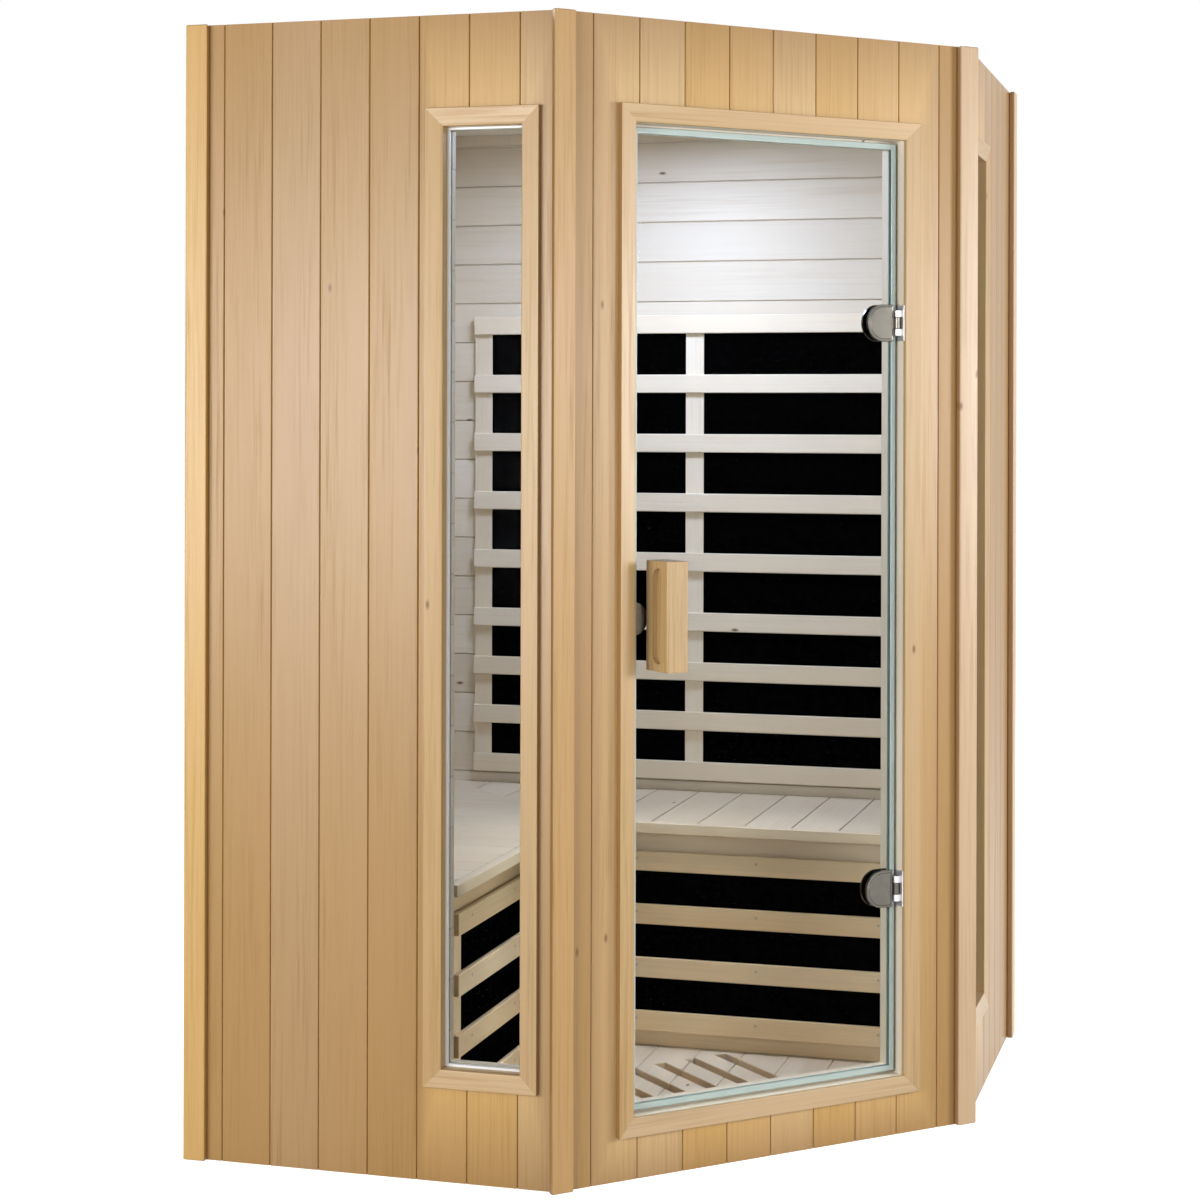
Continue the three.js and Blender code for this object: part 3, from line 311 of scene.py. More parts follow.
def wood(material, grain_at, tone, groove, look):
    """Straight-grained softwood: hairlines in groups along the board, soft bands, pinker clouds, a board's
    own tone, a few pin knots, and painted shade in the grooves between boards, by the share given in groove."""
    pale, line, blush, deep = (linear(colour) for colour in look["colours"])
    hair_at = shade(
        material, "ShaderNodeMapping",
        {"Vector": grain_at, "Scale": (1 / look["hairline"], 1 / look["hairline"], 1 / 0.24)},
    )
    hair = shade(
        material, "ShaderNodeTexNoise",
        {"Vector": hair_at.outputs[0], "Scale": 1.0, "Detail": 3.0, "Roughness": 0.65},
    )
    hairlines = shade(
        material, "ShaderNodeMapRange",
        {"Value": hair.outputs["Fac"], "From Min": 0.46, "From Max": 0.74},
    )
    group_at = shade(
        material, "ShaderNodeMapping", {"Vector": grain_at, "Scale": (1 / 0.03, 1 / 0.03, 1 / 0.7)},
    )
    group = shade(material, "ShaderNodeTexNoise", {"Vector": group_at.outputs[0], "Scale": 1.0})
    group_share = shade(
        material, "ShaderNodeMapRange",
        {
            "Value": group.outputs["Fac"], "From Min": 0.34, "From Max": 0.64,
            "To Min": 0.2 * look["contrast"], "To Max": look["contrast"],
        },
    )
    lines = shade(
        material, "ShaderNodeMath",
        {0: hairlines.outputs[0], 1: group_share.outputs[0]}, operation="MULTIPLY",
    )
    band_at = shade(
        material, "ShaderNodeMapping", {"Vector": grain_at, "Scale": (1 / 0.014, 1 / 0.014, 1 / 1.6)},
    )
    band = shade(material, "ShaderNodeTexNoise", {"Vector": band_at.outputs[0], "Scale": 1.0, "Detail": 1.0})
    figure = shade(
        material, "ShaderNodeMath",
        {0: band.outputs["Fac"], 1: 0.3 * look["contrast"], 2: lines.outputs[0]}, operation="MULTIPLY_ADD",
    )
    figured = shade(
        material, "ShaderNodeMix", {0: figure.outputs[0], 6: pale, 7: line}, data_type="RGBA",
    )
    cloud_at = shade(
        material, "ShaderNodeMapping", {"Vector": grain_at, "Scale": (1 / 0.11, 1 / 0.11, 1 / 0.42)},
    )
    cloud = shade(material, "ShaderNodeTexNoise", {"Vector": cloud_at.outputs[0], "Scale": 1.0})
    blush_share = shade(
        material, "ShaderNodeMapRange",
        {"Value": cloud.outputs["Fac"], "From Min": 0.38, "From Max": 0.66, "To Max": 0.65},
    )
    clouded = shade(
        material, "ShaderNodeMix",
        {0: blush_share.outputs[0], 6: figured.outputs[2], 7: blush}, data_type="RGBA",
    )
    board_value = shade(
        material, "ShaderNodeMapRange", {"Value": tone, "To Min": 0.92, "To Max": 1.08},
    )
    board_depth = shade(
        material, "ShaderNodeMapRange",
        {"Value": tone, "From Min": 0.5, "To Min": 1.06, "To Max": 0.74},
    )
    toned = shade(
        material, "ShaderNodeHueSaturation",
        {
            "Saturation": board_depth.outputs[0], "Value": board_value.outputs[0],
            "Color": clouded.outputs[2],
        },
    )
    parts = shade(material, "ShaderNodeSeparateXYZ", {0: grain_at})
    flat = shade(material, "ShaderNodeCombineXYZ", {"X": parts.outputs["X"], "Y": parts.outputs["Z"]})
    knot_at = shade(
        material, "ShaderNodeMapping", {"Vector": flat.outputs[0], "Scale": (1 / 0.15, 1 / 0.36, 1.0)},
    )
    knot = shade(
        material, "ShaderNodeTexVoronoi", {"Vector": knot_at.outputs[0], "Scale": 1.0},
        voronoi_dimensions="2D",
    )
    knot_core = shade(
        material, "ShaderNodeMapRange",
        {"Value": knot.outputs["Distance"], "From Min": 0.028, "From Max": 0.008},
    )
    chosen = shade(
        material, "ShaderNodeMath", {0: knot.outputs["Color"], 1: 0.62}, operation="GREATER_THAN",
    )
    knot_share = shade(
        material, "ShaderNodeMath", {0: knot_core.outputs[0], 1: chosen.outputs[0]}, operation="MULTIPLY",
    )
    knotted = shade(
        material, "ShaderNodeMix",
        {0: knot_share.outputs[0], 6: toned.outputs[0], 7: deep}, data_type="RGBA",
    )
    shaded = shade(
        material, "ShaderNodeMix", {0: groove, 6: knotted.outputs[2], 7: deep}, data_type="RGBA",
    )
    rough = shade(
        material, "ShaderNodeMapRange",
        {
            "Value": lines.outputs[0],
            "To Min": look["roughness"] - 0.04, "To Max": look["roughness"] + 0.1,
        },
    )
    relief = shade(
        material, "ShaderNodeBump",
        {"Strength": 0.25, "Distance": 0.0003, "Height": lines.outputs[0]}, invert=True,
    )
    surface = shade(
        material, "ShaderNodeBsdfPrincipled",
        {"Base Color": shaded.outputs[2], "Roughness": rough.outputs[0], "Normal": relief.outputs[0]},
    )
    shade(material, "ShaderNodeOutputMaterial", {"Surface": surface.outputs[0]})
    return material


def board_wood(name, look, groove_shade):
    """Wood whose figure follows each board, with painted shade on all that lies below the board's face, such
    as its grooves, slot walls and sides, and darker sawn ends.
    """
    material = bare_material(name)
    place = shade(material, "ShaderNodeAttribute", attribute_name="grain").outputs["Vector"]
    tone = shade(material, "ShaderNodeAttribute", attribute_name="tone").outputs["Fac"]
    parts = shade(material, "ShaderNodeSeparateXYZ", {0: place})
    # Painted shade: from 0.6 mm below the face the wood darkens towards the deep colour, fully by 3 mm, up to
    # groove_shade.
    groove = shade(
        material, "ShaderNodeMapRange",
        {"Value": parts.outputs["Y"], "From Min": 0.0006, "From Max": 0.003, "To Max": groove_shade},
    )
    end = shade(material, "ShaderNodeAttribute", attribute_name="end").outputs["Fac"]
    end_shade = shade(material, "ShaderNodeMath", {0: end, 1: 0.55}, operation="MULTIPLY")
    darker = shade(
        material, "ShaderNodeMath",
        {0: groove.outputs[0], 1: end_shade.outputs[0]}, operation="MAXIMUM",
    )
    return wood(material, place, tone, darker.outputs[0], look)


# Pale, fine and even; hairlines are drawn near 5 mm apart, coarser than in the wood, so that they show
BASSWOOD = {
    "colours": ("#E4DAC9", "#CBB697", "#DFD1BC", "#74522F"),
    "hairline": 0.005, "contrast": 0.5, "roughness": 0.55,
}
# Painted shade darkens the slot walls and the sides of the floor boards.
floor_wood = board_wood("sanded_basswood_floor", BASSWOOD, 0.4)

FLOOR_PITCH = 0.0855
FLOOR_FIRST_JOINT = 0.022
FLOOR_TOP = 0.034
FLOOR_THICKNESS = 0.022
SLOT_COUNT = 7
SLOT_PITCH = 0.067
SLOT_WIDTH = 0.025
SLOT_LENGTH = 0.218
SLOT_START = FRONT_PLANE + 0.270


def cabin_plan(inset):
    """Corners of the cabin's plan, moved inwards from its outer faces."""
    tangent = math.tan(math.pi / 8)
    half_front = HALF_FRONT - inset * tangent
    reach = (SIDE_LENGTH - inset - inset * tangent) * ROOT_HALF
    front = FRONT_PLANE + inset
    rear = FRONT_PLANE + (SIDE_LENGTH + BACK_LENGTH) * ROOT_HALF - inset / ROOT_HALF
    return [
        (-half_front, front), (half_front, front), (half_front + reach, front + reach),
        (0.0, rear), (-half_front - reach, front + reach),
    ]


def slab(name, corners, low, high):
    """A plan with straight sides raised between two heights."""
    bpy.ops.object.select_all(action="DESELECT")
    bpy.ops.mesh.primitive_circle_add(vertices=len(corners), radius=1.0, fill_type="NGON")
    piece = bpy.context.object
    piece.name = name
    for vertex, (x, y) in zip(piece.data.vertices, corners):
        vertex.co = (x, y, low)
    bpy.ops.object.mode_set(mode="EDIT")
    bpy.ops.mesh.select_all(action="SELECT")
    bpy.ops.mesh.extrude_region_move(TRANSFORM_OT_translate={"value": (0, 0, high - low)})
    bpy.ops.mesh.select_all(action="SELECT")
    bpy.ops.mesh.normals_make_consistent(inside=False)
    bpy.ops.object.mode_set(mode="OBJECT")
    return piece


floor_outline = slab("floor_outline", cabin_plan(WALL_DEPTH + 0.0003), 0.0, 0.1)
slot_cutters = []
for index in range(SLOT_COUNT):
    middle = (index - (SLOT_COUNT - 1) / 2) * SLOT_PITCH
    low = (middle - SLOT_WIDTH / 2, SLOT_START, -0.1)
    high = (middle + SLOT_WIDTH / 2, SLOT_START + SLOT_LENGTH, 0.1)
    slot_cutters.append(block("slot", low, high))
slots = assemble("slots", slot_cutters)
# Board axes: across the room, down into the board, along the right side wall
floor_axes = Matrix(((0, 0, 1, 0), (-1, 0, 0, 0), (0, -1, 0, 0), (0, 0, 0, 1)))
floor_plank = plank(FLOOR_PITCH - 0.0008, FLOOR_THICKNESS, 1.6, 0.0022)
floor_boards = []
for index in range(-1, 15):
    start = Matrix.Translation((-0.65, FLOOR_FIRST_JOINT + (index + 0.5) * FLOOR_PITCH, FLOOR_TOP))
    place = right_wall @ start @ floor_axes
    board = cut(lay(floor_plank, place), floor_outline, "INTERSECT")
    if not board.data.vertices:
        discard(board)
        continue
    cut(board, slots)
    floor_boards.append(grain(board, place))
fit(assemble("floor_decking", floor_boards), "cabin", "inner_wood", floor_wood, "floor_boards")
discard(floor_plank, floor_outline, slots)


# Inner panels of the five walls
# Each wall is a framed panel lined inside with level tongue-and-groove basswood boards, nailed on and
# sanded. The CAD panels have the grooves; the finish gives each board its own figure along the wall.

LINING_PITCH = 0.083
LINING_TOP_JOINT = 1.734
LINING_GROOVE = 0.002


def lining_wood(name, turn, seed, look, joint_shade):
    """Pale lining whose figure runs level along a wall and changes at every board joint, with painted shade
    in the joints as strong as joint_shade.
    """
    material = bare_material(name)
    place = shade(material, "ShaderNodeTexCoord").outputs["Object"]
    turned = shade(
        material, "ShaderNodeMapping", {"Vector": place, "Rotation": (0, 0, math.radians(-turn))},
    )
    parts = shade(material, "ShaderNodeSeparateXYZ", {0: turned.outputs[0]})
    below_joint = shade(
        material, "ShaderNodeMath", {0: LINING_TOP_JOINT, 1: parts.outputs["Z"]}, operation="SUBTRACT",
    )
    count = shade(
        material, "ShaderNodeMath", {0: below_joint.outputs[0], 1: LINING_PITCH}, operation="DIVIDE",
    )
    number = shade(material, "ShaderNodeMath", {0: count.outputs[0]}, operation="FLOOR")
    share = shade(material, "ShaderNodeMath", {0: count.outputs[0]}, operation="FRACT")
    numbered = shade(material, "ShaderNodeMath", {0: number.outputs[0], 1: seed}, operation="ADD")
    tone = shade(material, "ShaderNodeTexWhiteNoise", {"W": numbered.outputs[0]}, noise_dimensions="1D")
    shift = shade(
        material, "ShaderNodeMath", {0: numbered.outputs[0], 1: 3.7, 2: parts.outputs["X"]},
        operation="MULTIPLY_ADD",
    )
    grain_at = shade(
        material, "ShaderNodeCombineXYZ",
        {"X": parts.outputs["Z"], "Y": parts.outputs["Y"], "Z": shift.outputs[0]},
    )
    # Painted shade: within LINING_GROOVE of each board joint the wood darkens towards the deep colour, up to
    # joint_shade.
    off_middle = shade(material, "ShaderNodeMath", {0: share.outputs[0], 1: 0.5}, operation="SUBTRACT")
    distance = shade(material, "ShaderNodeMath", {0: off_middle.outputs[0]}, operation="ABSOLUTE")
    edge = 0.5 - LINING_GROOVE / LINING_PITCH
    groove = shade(
        material, "ShaderNodeMapRange",
        {"Value": distance.outputs[0], "From Min": edge, "From Max": 0.5, "To Max": joint_shade},
    )
    return wood(material, grain_at.outputs[0], tone.outputs["Value"], groove.outputs[0], look)


# The board joints of the lining carry painted shade.
dress(lining_wood("lining_front", 0, 3.0, BASSWOOD, 0.3), "front_wall_panel")
dress(lining_wood("lining_right", 45, 40.0, BASSWOOD, 0.3), "right_wall_panel")
dress(lining_wood("lining_left", -45, 80.0, BASSWOOD, 0.3), "left_wall_panel")
dress(lining_wood("lining_back_right", 135, 120.0, BASSWOOD, 0.3), "back_right_wall_panel")
dress(lining_wood("lining_back_left", -135, 160.0, BASSWOOD, 0.3), "back_left_wall_panel")


# Outer cladding of the front and side walls
# Upright tongue-and-groove hemlock boards, clear-grained, planed and oiled to a soft honey colour. Their
# front edges are chamfered, so a V-shaped groove shows at every joint. They are sawn out round the openings.

# Honey-coloured with darker growth lines; these too are drawn near 5 mm apart, coarser than in the wood
HEMLOCK = {
    "colours": ("#CBA76A", "#A47B3B", "#CAA26A", "#7A5226"),
    "hairline": 0.005, "contrast": 1.0, "roughness": 0.38,
}
# Painted shade darkens the wood below each board's face, in the V-grooves and on the boards' sides.
hemlock = board_wood("oiled_hemlock", HEMLOCK, 0.6)

BOARD_PITCH = 0.0865
BOARD_THICKNESS = 0.009
BOARD_GAP = 0.0008
CHAMFER = 0.0019
TONGUE_FRONT = 0.0040
TONGUE_BACK = 0.0066
TONGUE_REACH = 0.003
CLADDING_HEIGHT = 1.8995
front_wall = wall_frame(-HALF_FRONT, FRONT_PLANE, 0)


def cladding_board():
    """One board: chamfered at the front, with a tongue on one edge and a groove in the other."""
    half = (BOARD_PITCH - BOARD_GAP) / 2
    board = block("cladding_board", (-half, 0, 0), (half, BOARD_THICKNESS, CLADDING_HEIGHT))
    ease(board, CHAMFER, 1, lambda middle, way: abs(way.z) > 0.9 and middle.y < 0.0001)
    work_on(board)
    bpy.ops.object.mode_set(mode="EDIT")
    for depth in (TONGUE_FRONT, TONGUE_BACK):
        bpy.ops.mesh.select_all(action="SELECT")
        bpy.ops.mesh.bisect(plane_co=(0, depth, 0), plane_no=(0, 1, 0))
    bpy.ops.object.mode_set(mode="OBJECT")
    for side, reach in ((1, TONGUE_REACH), (-1, TONGUE_REACH + BOARD_GAP)):
        pick(
            board, "FACE",
            lambda middle, way: way.x * side > 0.9 and TONGUE_FRONT < middle.y < TONGUE_BACK,
        )
        bpy.ops.mesh.extrude_region_move(TRANSFORM_OT_translate={"value": (reach, 0, 0)})
        bpy.ops.object.mode_set(mode="OBJECT")
    return board


def clad(name, wall, length, start_mitre, end_mitre, opening, node):
    """Lays boards along a wall from its middle, saws them on the corner mitres and round the opening."""
    pattern = cladding_board()
    rows = math.ceil(length / 2 / BOARD_PITCH)
    boards = []
    for row in range(-rows, rows):
        along = length / 2 + (row + 0.5) * BOARD_PITCH
        place = Matrix.Translation((along, 0, 0))
        board = lay(pattern, place)
        if along - BOARD_PITCH < 0.03:
            saw(board, (0.00025, 0, 0), (-math.cos(start_mitre), math.sin(start_mitre), 0))
        if along + BOARD_PITCH > length - 0.03:
            saw(board, (length - 0.00025, 0, 0), (math.cos(end_mitre), math.sin(end_mitre), 0))
        if not board.data.vertices:
            discard(board)
            continue
        cut(board, opening)
        grain(board, place)
        board.data.transform(wall)
        boards.append(board)
    discard(pattern)
    return fit(assemble(name, boards), "cabin", "outer_wood", hemlock, node)


def mirror(piece, name, *nodes):
    """The other half's copy of a piece, with its own figure in the wood."""
    twin = piece.copy()
    twin.data = piece.data.copy()
    bpy.context.scene.collection.objects.link(twin)
    twin.data.transform(Matrix.Scale(-1, 4, (1, 0, 0)))
    twin.data.flip_normals()
    twin.name = name
    twin.data.name = name
    if "grain" in twin.data.attributes:
        for point in twin.data.attributes["grain"].data:
            point.vector.z += 83.0
        for point in twin.data.attributes["tone"].data:
            point.value = 1.0 - point.value
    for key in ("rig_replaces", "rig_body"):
        if key in twin:
            del twin[key]
    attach(twin, piece["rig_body"])
    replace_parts(twin, *nodes)
    return flatten(twin)


DOOR_BOTTOM, DOOR_TOP = 0.102, 1.727
DOOR_HALF = 0.270
JAMB = 0.0153
WINDOW_FROM_CORNER = 0.127
WINDOW_HALF = 0.067
WINDOW_BOTTOM, WINDOW_TOP = 0.185, 1.717
BEAD_OUT = 0.0028
FRONT_MITRE = math.pi / 8
SQUARE_MITRE = math.pi / 4

doorway = block(
    "doorway",
    (HALF_FRONT - DOOR_HALF - JAMB, -0.1, DOOR_BOTTOM - JAMB),
    (HALF_FRONT + DOOR_HALF + JAMB, 0.1, DOOR_TOP + JAMB),
)
clad(
    "front_cladding", front_wall, 2 * HALF_FRONT, FRONT_MITRE, FRONT_MITRE, doorway, "front_wall_cladding",
)
window_hole = block(
    "window_hole",
    (WINDOW_FROM_CORNER - WINDOW_HALF - BEAD_OUT, -0.1, WINDOW_BOTTOM - BEAD_OUT),
    (WINDOW_FROM_CORNER + WINDOW_HALF + BEAD_OUT, 0.1, WINDOW_TOP + BEAD_OUT),
)
right_cladding = clad(
    "right_cladding", right_wall, SIDE_LENGTH, FRONT_MITRE, SQUARE_MITRE, window_hole, "right_wall_cladding",
)
mirror(right_cladding, "left_cladding", "left_wall_cladding")
discard(doorway, window_hole)


# Corner strips
# Flat hemlock strips with well rounded edges, pinned over the joints: on the front face at both front
# corners and at the rear end of each side wall.

STRIP_WIDTH = 0.039
STRIP_THICKNESS = 0.012
STRIP_OVERHANG = 0.013
STRIP_HEIGHT = 1.900
FIT_GAP = 0.0003
strip = plank(STRIP_WIDTH, STRIP_THICKNESS, STRIP_HEIGHT, 0.0025)
front_x = 2 * HALF_FRONT + STRIP_OVERHANG - STRIP_WIDTH / 2
rear_x = SIDE_LENGTH - STRIP_WIDTH / 2
# The front strips are cut from slightly darker, browner boards than the cladding
DARK_HEMLOCK = dict(HEMLOCK, colours=("#BC9A68", "#98723C", "#BB9367", "#7A5226"))
# The strips' sides carry painted shade, as the cladding's grooves do.
strip_wood = board_wood("hemlock_strips", DARK_HEMLOCK, 0.6)
for wall, along, material, name, node in (
    (front_wall, front_x, strip_wood, "front_right_strip", "front_right_corner_strip"),
    (right_wall, rear_x, hemlock, "rear_right_strip", "rear_right_corner_strip"),
):
    place = wall @ Matrix.Translation((along, -STRIP_THICKNESS - FIT_GAP, 0))
    piece = assemble(name, [grain(lay(strip, place), place, 0.9)])
    fit(piece, "cabin", "outer_wood", material, node)
    mirror(piece, name.replace("right", "left"), node.replace("right", "left"))
discard(strip)


# Window and door casings
# Mitred hemlock mouldings round each opening, thicker at the outer edge and sloping towards the opening,
# nailed to the cladding. The members meet in a hairline at the mitres.

CASING_WIDTH = 0.030
CASING_THICKNESS = 0.012
CASING_INNER = 0.007
CASING_RETURN = 0.0025
WINDOW_LINING = 0.014


def casing_member(length, lining):
    """One member along Z, centred there, with its outer edge at -X and mitred ends. A thin return at its
    inner edge lines the opening to the given depth."""
    half = CASING_WIDTH / 2
    member = block("casing_member", (-half, 0, -length / 2), (half, CASING_THICKNESS, length / 2))
    pick(member, "EDGE", lambda middle, way: middle.x > half - 0.0001 and middle.y < 0.0001)
    bpy.ops.transform.translate(value=(0, CASING_THICKNESS - CASING_INNER, 0))
    bpy.ops.object.mode_set(mode="OBJECT")
    ease(member, 0.0012, 2, lambda middle, way: abs(way.z) > 0.99 and middle.y < CASING_THICKNESS - 0.001)
    if lining:
        work_on(member)
        bpy.ops.object.mode_set(mode="EDIT")
        bpy.ops.mesh.select_all(action="SELECT")
        bpy.ops.mesh.bisect(plane_co=(half - CASING_RETURN, 0, 0), plane_no=(1, 0, 0))
        bpy.ops.object.mode_set(mode="OBJECT")
        pick(member, "FACE", lambda middle, way: way.y > 0.99 and middle.x > half - CASING_RETURN)
        bpy.ops.mesh.extrude_region_move(TRANSFORM_OT_translate={"value": (0, lining + FIT_GAP, 0)})
        bpy.ops.object.mode_set(mode="OBJECT")
    for end in (-1, 1):
        point = (-half, 0, end * (length / 2 - 0.00003))
        saw(member, point, (ROOT_HALF, 0, end * ROOT_HALF))
    return member


def casing(name, wall, centre_x, low, high, half_width, lining, node):
    """Four members round an opening."""
    width = 2 * (half_width + CASING_WIDTH)
    height = high - low + 2 * CASING_WIDTH
    middle = (low + high) / 2
    upright, level = casing_member(height, lining), casing_member(width, lining)
    members = []
    for pattern, turn, reach in (
        (upright, 0, (width - CASING_WIDTH) / 2),
        (upright, 180, (width - CASING_WIDTH) / 2),
        (level, 90, (height - CASING_WIDTH) / 2),
        (level, 270, (height - CASING_WIDTH) / 2),
    ):
        centre = Matrix.Translation((centre_x, -CASING_THICKNESS - FIT_GAP, middle))
        turned = Matrix.Rotation(math.radians(turn), 4, "Y")
        place = wall @ centre @ turned @ Matrix.Translation((-reach, 0, 0))
        members.append(grain(lay(pattern, place), place, draw.uniform(0.35, 0.75)))
    discard(upright, level)
    return fit(assemble(name, members), "cabin", "outer_wood", moulding, node)


# Casings and handle are cut from paler, greyer boards than the cladding
PALE_HEMLOCK = dict(HEMLOCK, colours=("#B89A6C", "#967440", "#B8956B", "#7A5226"))
moulding = board_wood("hemlock_moulding", PALE_HEMLOCK, 0.0)
window_casing = casing(
    "right_window_trim", right_wall, WINDOW_FROM_CORNER, WINDOW_BOTTOM, WINDOW_TOP, WINDOW_HALF,
    WINDOW_LINING, "right_window_casing",
)
mirror(window_casing, "left_window_trim", "left_window_casing")
casing("door_trim", front_wall, HALF_FRONT, DOOR_BOTTOM, DOOR_TOP, DOOR_HALF, 0.0, "door_casing")


# Window beads and panes
# White extruded glazing beads hold a clear pane in each slit window. The glass is plain float glass with a
# faint green cast; the photographed panes mirror almost nothing, so their IOR is set low.


def moulded_plastic(name, colour, worn, roughness, grit=0.0012, gloss=0.5, milky=0.0):
    """Moulded plastic: slight unevenness, a fine grain, a soft gloss, and light inside if it is milky."""
    material = bare_material(name)
    place = shade(material, "ShaderNodeTexCoord").outputs["Object"]
    cloud = shade(material, "ShaderNodeTexNoise", {"Vector": place, "Scale": 1 / 0.06, "Detail": 4.0})
    speck = shade(material, "ShaderNodeTexNoise", {"Vector": place, "Scale": 1 / grit})
    tint = shade(
        material, "ShaderNodeMix",
        {0: cloud.outputs["Fac"], 6: linear(colour), 7: linear(worn)}, data_type="RGBA",
    )
    rough = shade(
        material, "ShaderNodeMapRange",
        {"Value": cloud.outputs["Fac"], "To Min": roughness - 0.05, "To Max": roughness + 0.08},
    )
    relief = shade(
        material, "ShaderNodeBump",
        {"Strength": 0.08, "Distance": 0.0002, "Height": speck.outputs["Fac"]},
    )
    surface = shade(
        material, "ShaderNodeBsdfPrincipled",
        {
            "Base Color": tint.outputs[2], "Roughness": rough.outputs[0], "Normal": relief.outputs[0],
            "Specular IOR Level": gloss, "Subsurface Weight": milky, "Subsurface Scale": 0.006,
            "Subsurface Radius": (1.0, 1.0, 1.0),
        },
    )
    shade(material, "ShaderNodeOutputMaterial", {"Surface": surface.outputs[0]})
    return material


def float_glass(name):
    """Clear float glass, which lamps and bounced light pass."""
    material = bare_material(name)
    place = shade(material, "ShaderNodeTexCoord").outputs["Object"]
    smear = shade(material, "ShaderNodeTexNoise", {"Vector": place, "Scale": 1 / 0.15, "Detail": 3.0})
    rough = shade(material, "ShaderNodeMapRange", {"Value": smear.outputs["Fac"], "To Max": 0.02})
    pane = shade(
        material, "ShaderNodeBsdfPrincipled",
        {
            "Base Color": linear("#FFFFFF"), "Roughness": rough.outputs[0], "IOR": 1.03,
            "Transmission Weight": 1.0,
        },
    )
    open_air = shade(material, "ShaderNodeBsdfTransparent", {"Color": linear("#DDE1DF")})
    path = shade(material, "ShaderNodeLightPath")
    lets_by = shade(
        material, "ShaderNodeMath",
        {0: path.outputs["Is Shadow Ray"], 1: path.outputs["Is Diffuse Ray"]}, operation="MAXIMUM",
    )
    both = shade(
        material, "ShaderNodeMixShader",
        {0: lets_by.outputs[0], 1: pane.outputs[0], 2: open_air.outputs[0]},
    )
    shade(material, "ShaderNodeOutputMaterial", {"Surface": both.outputs[0]})
    return material


bead_white = moulded_plastic("white_pvc_bead", "#F4F5F4", "#E4E7E8", 0.35)
clear_glass = float_glass("clear_float_glass")
dress(bead_white, "right_window_bead", "left_window_bead")
dress(clear_glass, "right_window_glass", "left_window_glass")


# Back walls outside
# Plain plywood sheets close the two back walls, which stand in the corner of a room. They are screwed to the
# frame along their edges and up the middle.


def metal(name, colour, worn, roughness, grit):
    """Metal with a fine brushed or polished surface and faint smears."""
    material = bare_material(name)
    place = shade(material, "ShaderNodeTexCoord").outputs["Object"]
    smear = shade(material, "ShaderNodeTexNoise", {"Vector": place, "Scale": 1 / 0.012, "Detail": 4.0})
    stretch = shade(
        material, "ShaderNodeMapping", {"Vector": place, "Scale": (1 / (20 * grit), 1 / grit, 1 / grit)},
    )
    brush = shade(material, "ShaderNodeTexNoise", {"Vector": stretch.outputs[0], "Scale": 1.0})
    tint = shade(
        material, "ShaderNodeMix",
        {0: smear.outputs["Fac"], 6: linear(colour), 7: linear(worn)}, data_type="RGBA",
    )
    rough = shade(
        material, "ShaderNodeMapRange",
        {"Value": brush.outputs["Fac"], "To Min": roughness * 0.7, "To Max": roughness * 1.4},
    )
    surface = shade(
        material, "ShaderNodeBsdfPrincipled",
        {"Base Color": tint.outputs[2], "Metallic": 1.0, "Roughness": rough.outputs[0]},
    )
    shade(material, "ShaderNodeOutputMaterial", {"Surface": surface.outputs[0]})
    return material


def drive_screws(name, material, places):
    """Flat heads with a dished recess, each facing its own +Z and a hair proud of the board."""
    bpy.ops.object.select_all(action="DESELECT")
    bpy.ops.mesh.primitive_cylinder_add(
        vertices=14, radius=HEAD_RADIUS, depth=0.001, location=(0, 0, -0.0003),
    )
    bpy.ops.object.transform_apply(location=True, rotation=True, scale=True)
    head = bpy.context.object
    pick(head, "FACE", lambda middle, way: way.z > 0.99)
    bpy.ops.mesh.inset(thickness=0.42 * HEAD_RADIUS, depth=0.0)
    bpy.ops.mesh.inset(thickness=0.16 * HEAD_RADIUS, depth=-0.0005)
    bpy.ops.object.mode_set(mode="OBJECT")
    heads = [lay(head, place) for place in places]
    discard(head)
    return fit(assemble(name, heads), "cabin", "steel", material)


HEAD_RADIUS = 0.0026
dress(plywood("back_right_plywood", (0, 0, math.radians(-135))), "back_right_wall_sheet")
dress(plywood("back_left_plywood", (0, 0, math.radians(135))), "back_left_wall_sheet")
zinc = metal("zinc_plated_steel", "#B5B4B0", "#96958F", 0.4, 0.0006)
SCREW_EDGE = 0.030
LEVEL_STEPS, UPRIGHT_STEPS = 8, 12
back_wall = wall_frame(HALF_FRONT + SIDE_REACH, FRONT_PLANE + SIDE_REACH, 135)
sheet_low, sheet_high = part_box("back_right_wall_sheet")
sheet_spots = []
for step in range(LEVEL_STEPS + 1):
    along = SCREW_EDGE + step * (BACK_LENGTH - 2 * SCREW_EDGE) / LEVEL_STEPS
    sheet_spots += [(along, sheet_low.z + SCREW_EDGE), (along, sheet_high.z - SCREW_EDGE)]
for step in range(1, UPRIGHT_STEPS):
    rise = step * (sheet_high.z - sheet_low.z - 2 * SCREW_EDGE) / UPRIGHT_STEPS
    for along in (SCREW_EDGE, BACK_LENGTH / 2, BACK_LENGTH - SCREW_EDGE):
        sheet_spots.append((along, sheet_low.z + SCREW_EDGE + rise))
facing_out = Matrix.Rotation(math.pi / 2, 4, "X")
sheet_screws = drive_screws(
    "back_right_sheet_screws", zinc,
    [back_wall @ Matrix.Translation((along, 0, height)) @ facing_out for along, height in sheet_spots],
)
mirror(sheet_screws, "back_left_sheet_screws")


# Door jamb
# A pale jamb with a stop planted on it lines the doorway. The upright members have upright grain; the head
# and the sill are mostly hidden by the casing.

jamb_wood = bare_material("jamb_basswood")
jamb_place = shade(jamb_wood, "ShaderNodeTexCoord").outputs["Object"]
wood(jamb_wood, jamb_place, 0.6, 0.0, BASSWOOD)
dress(jamb_wood, "door_jamb")


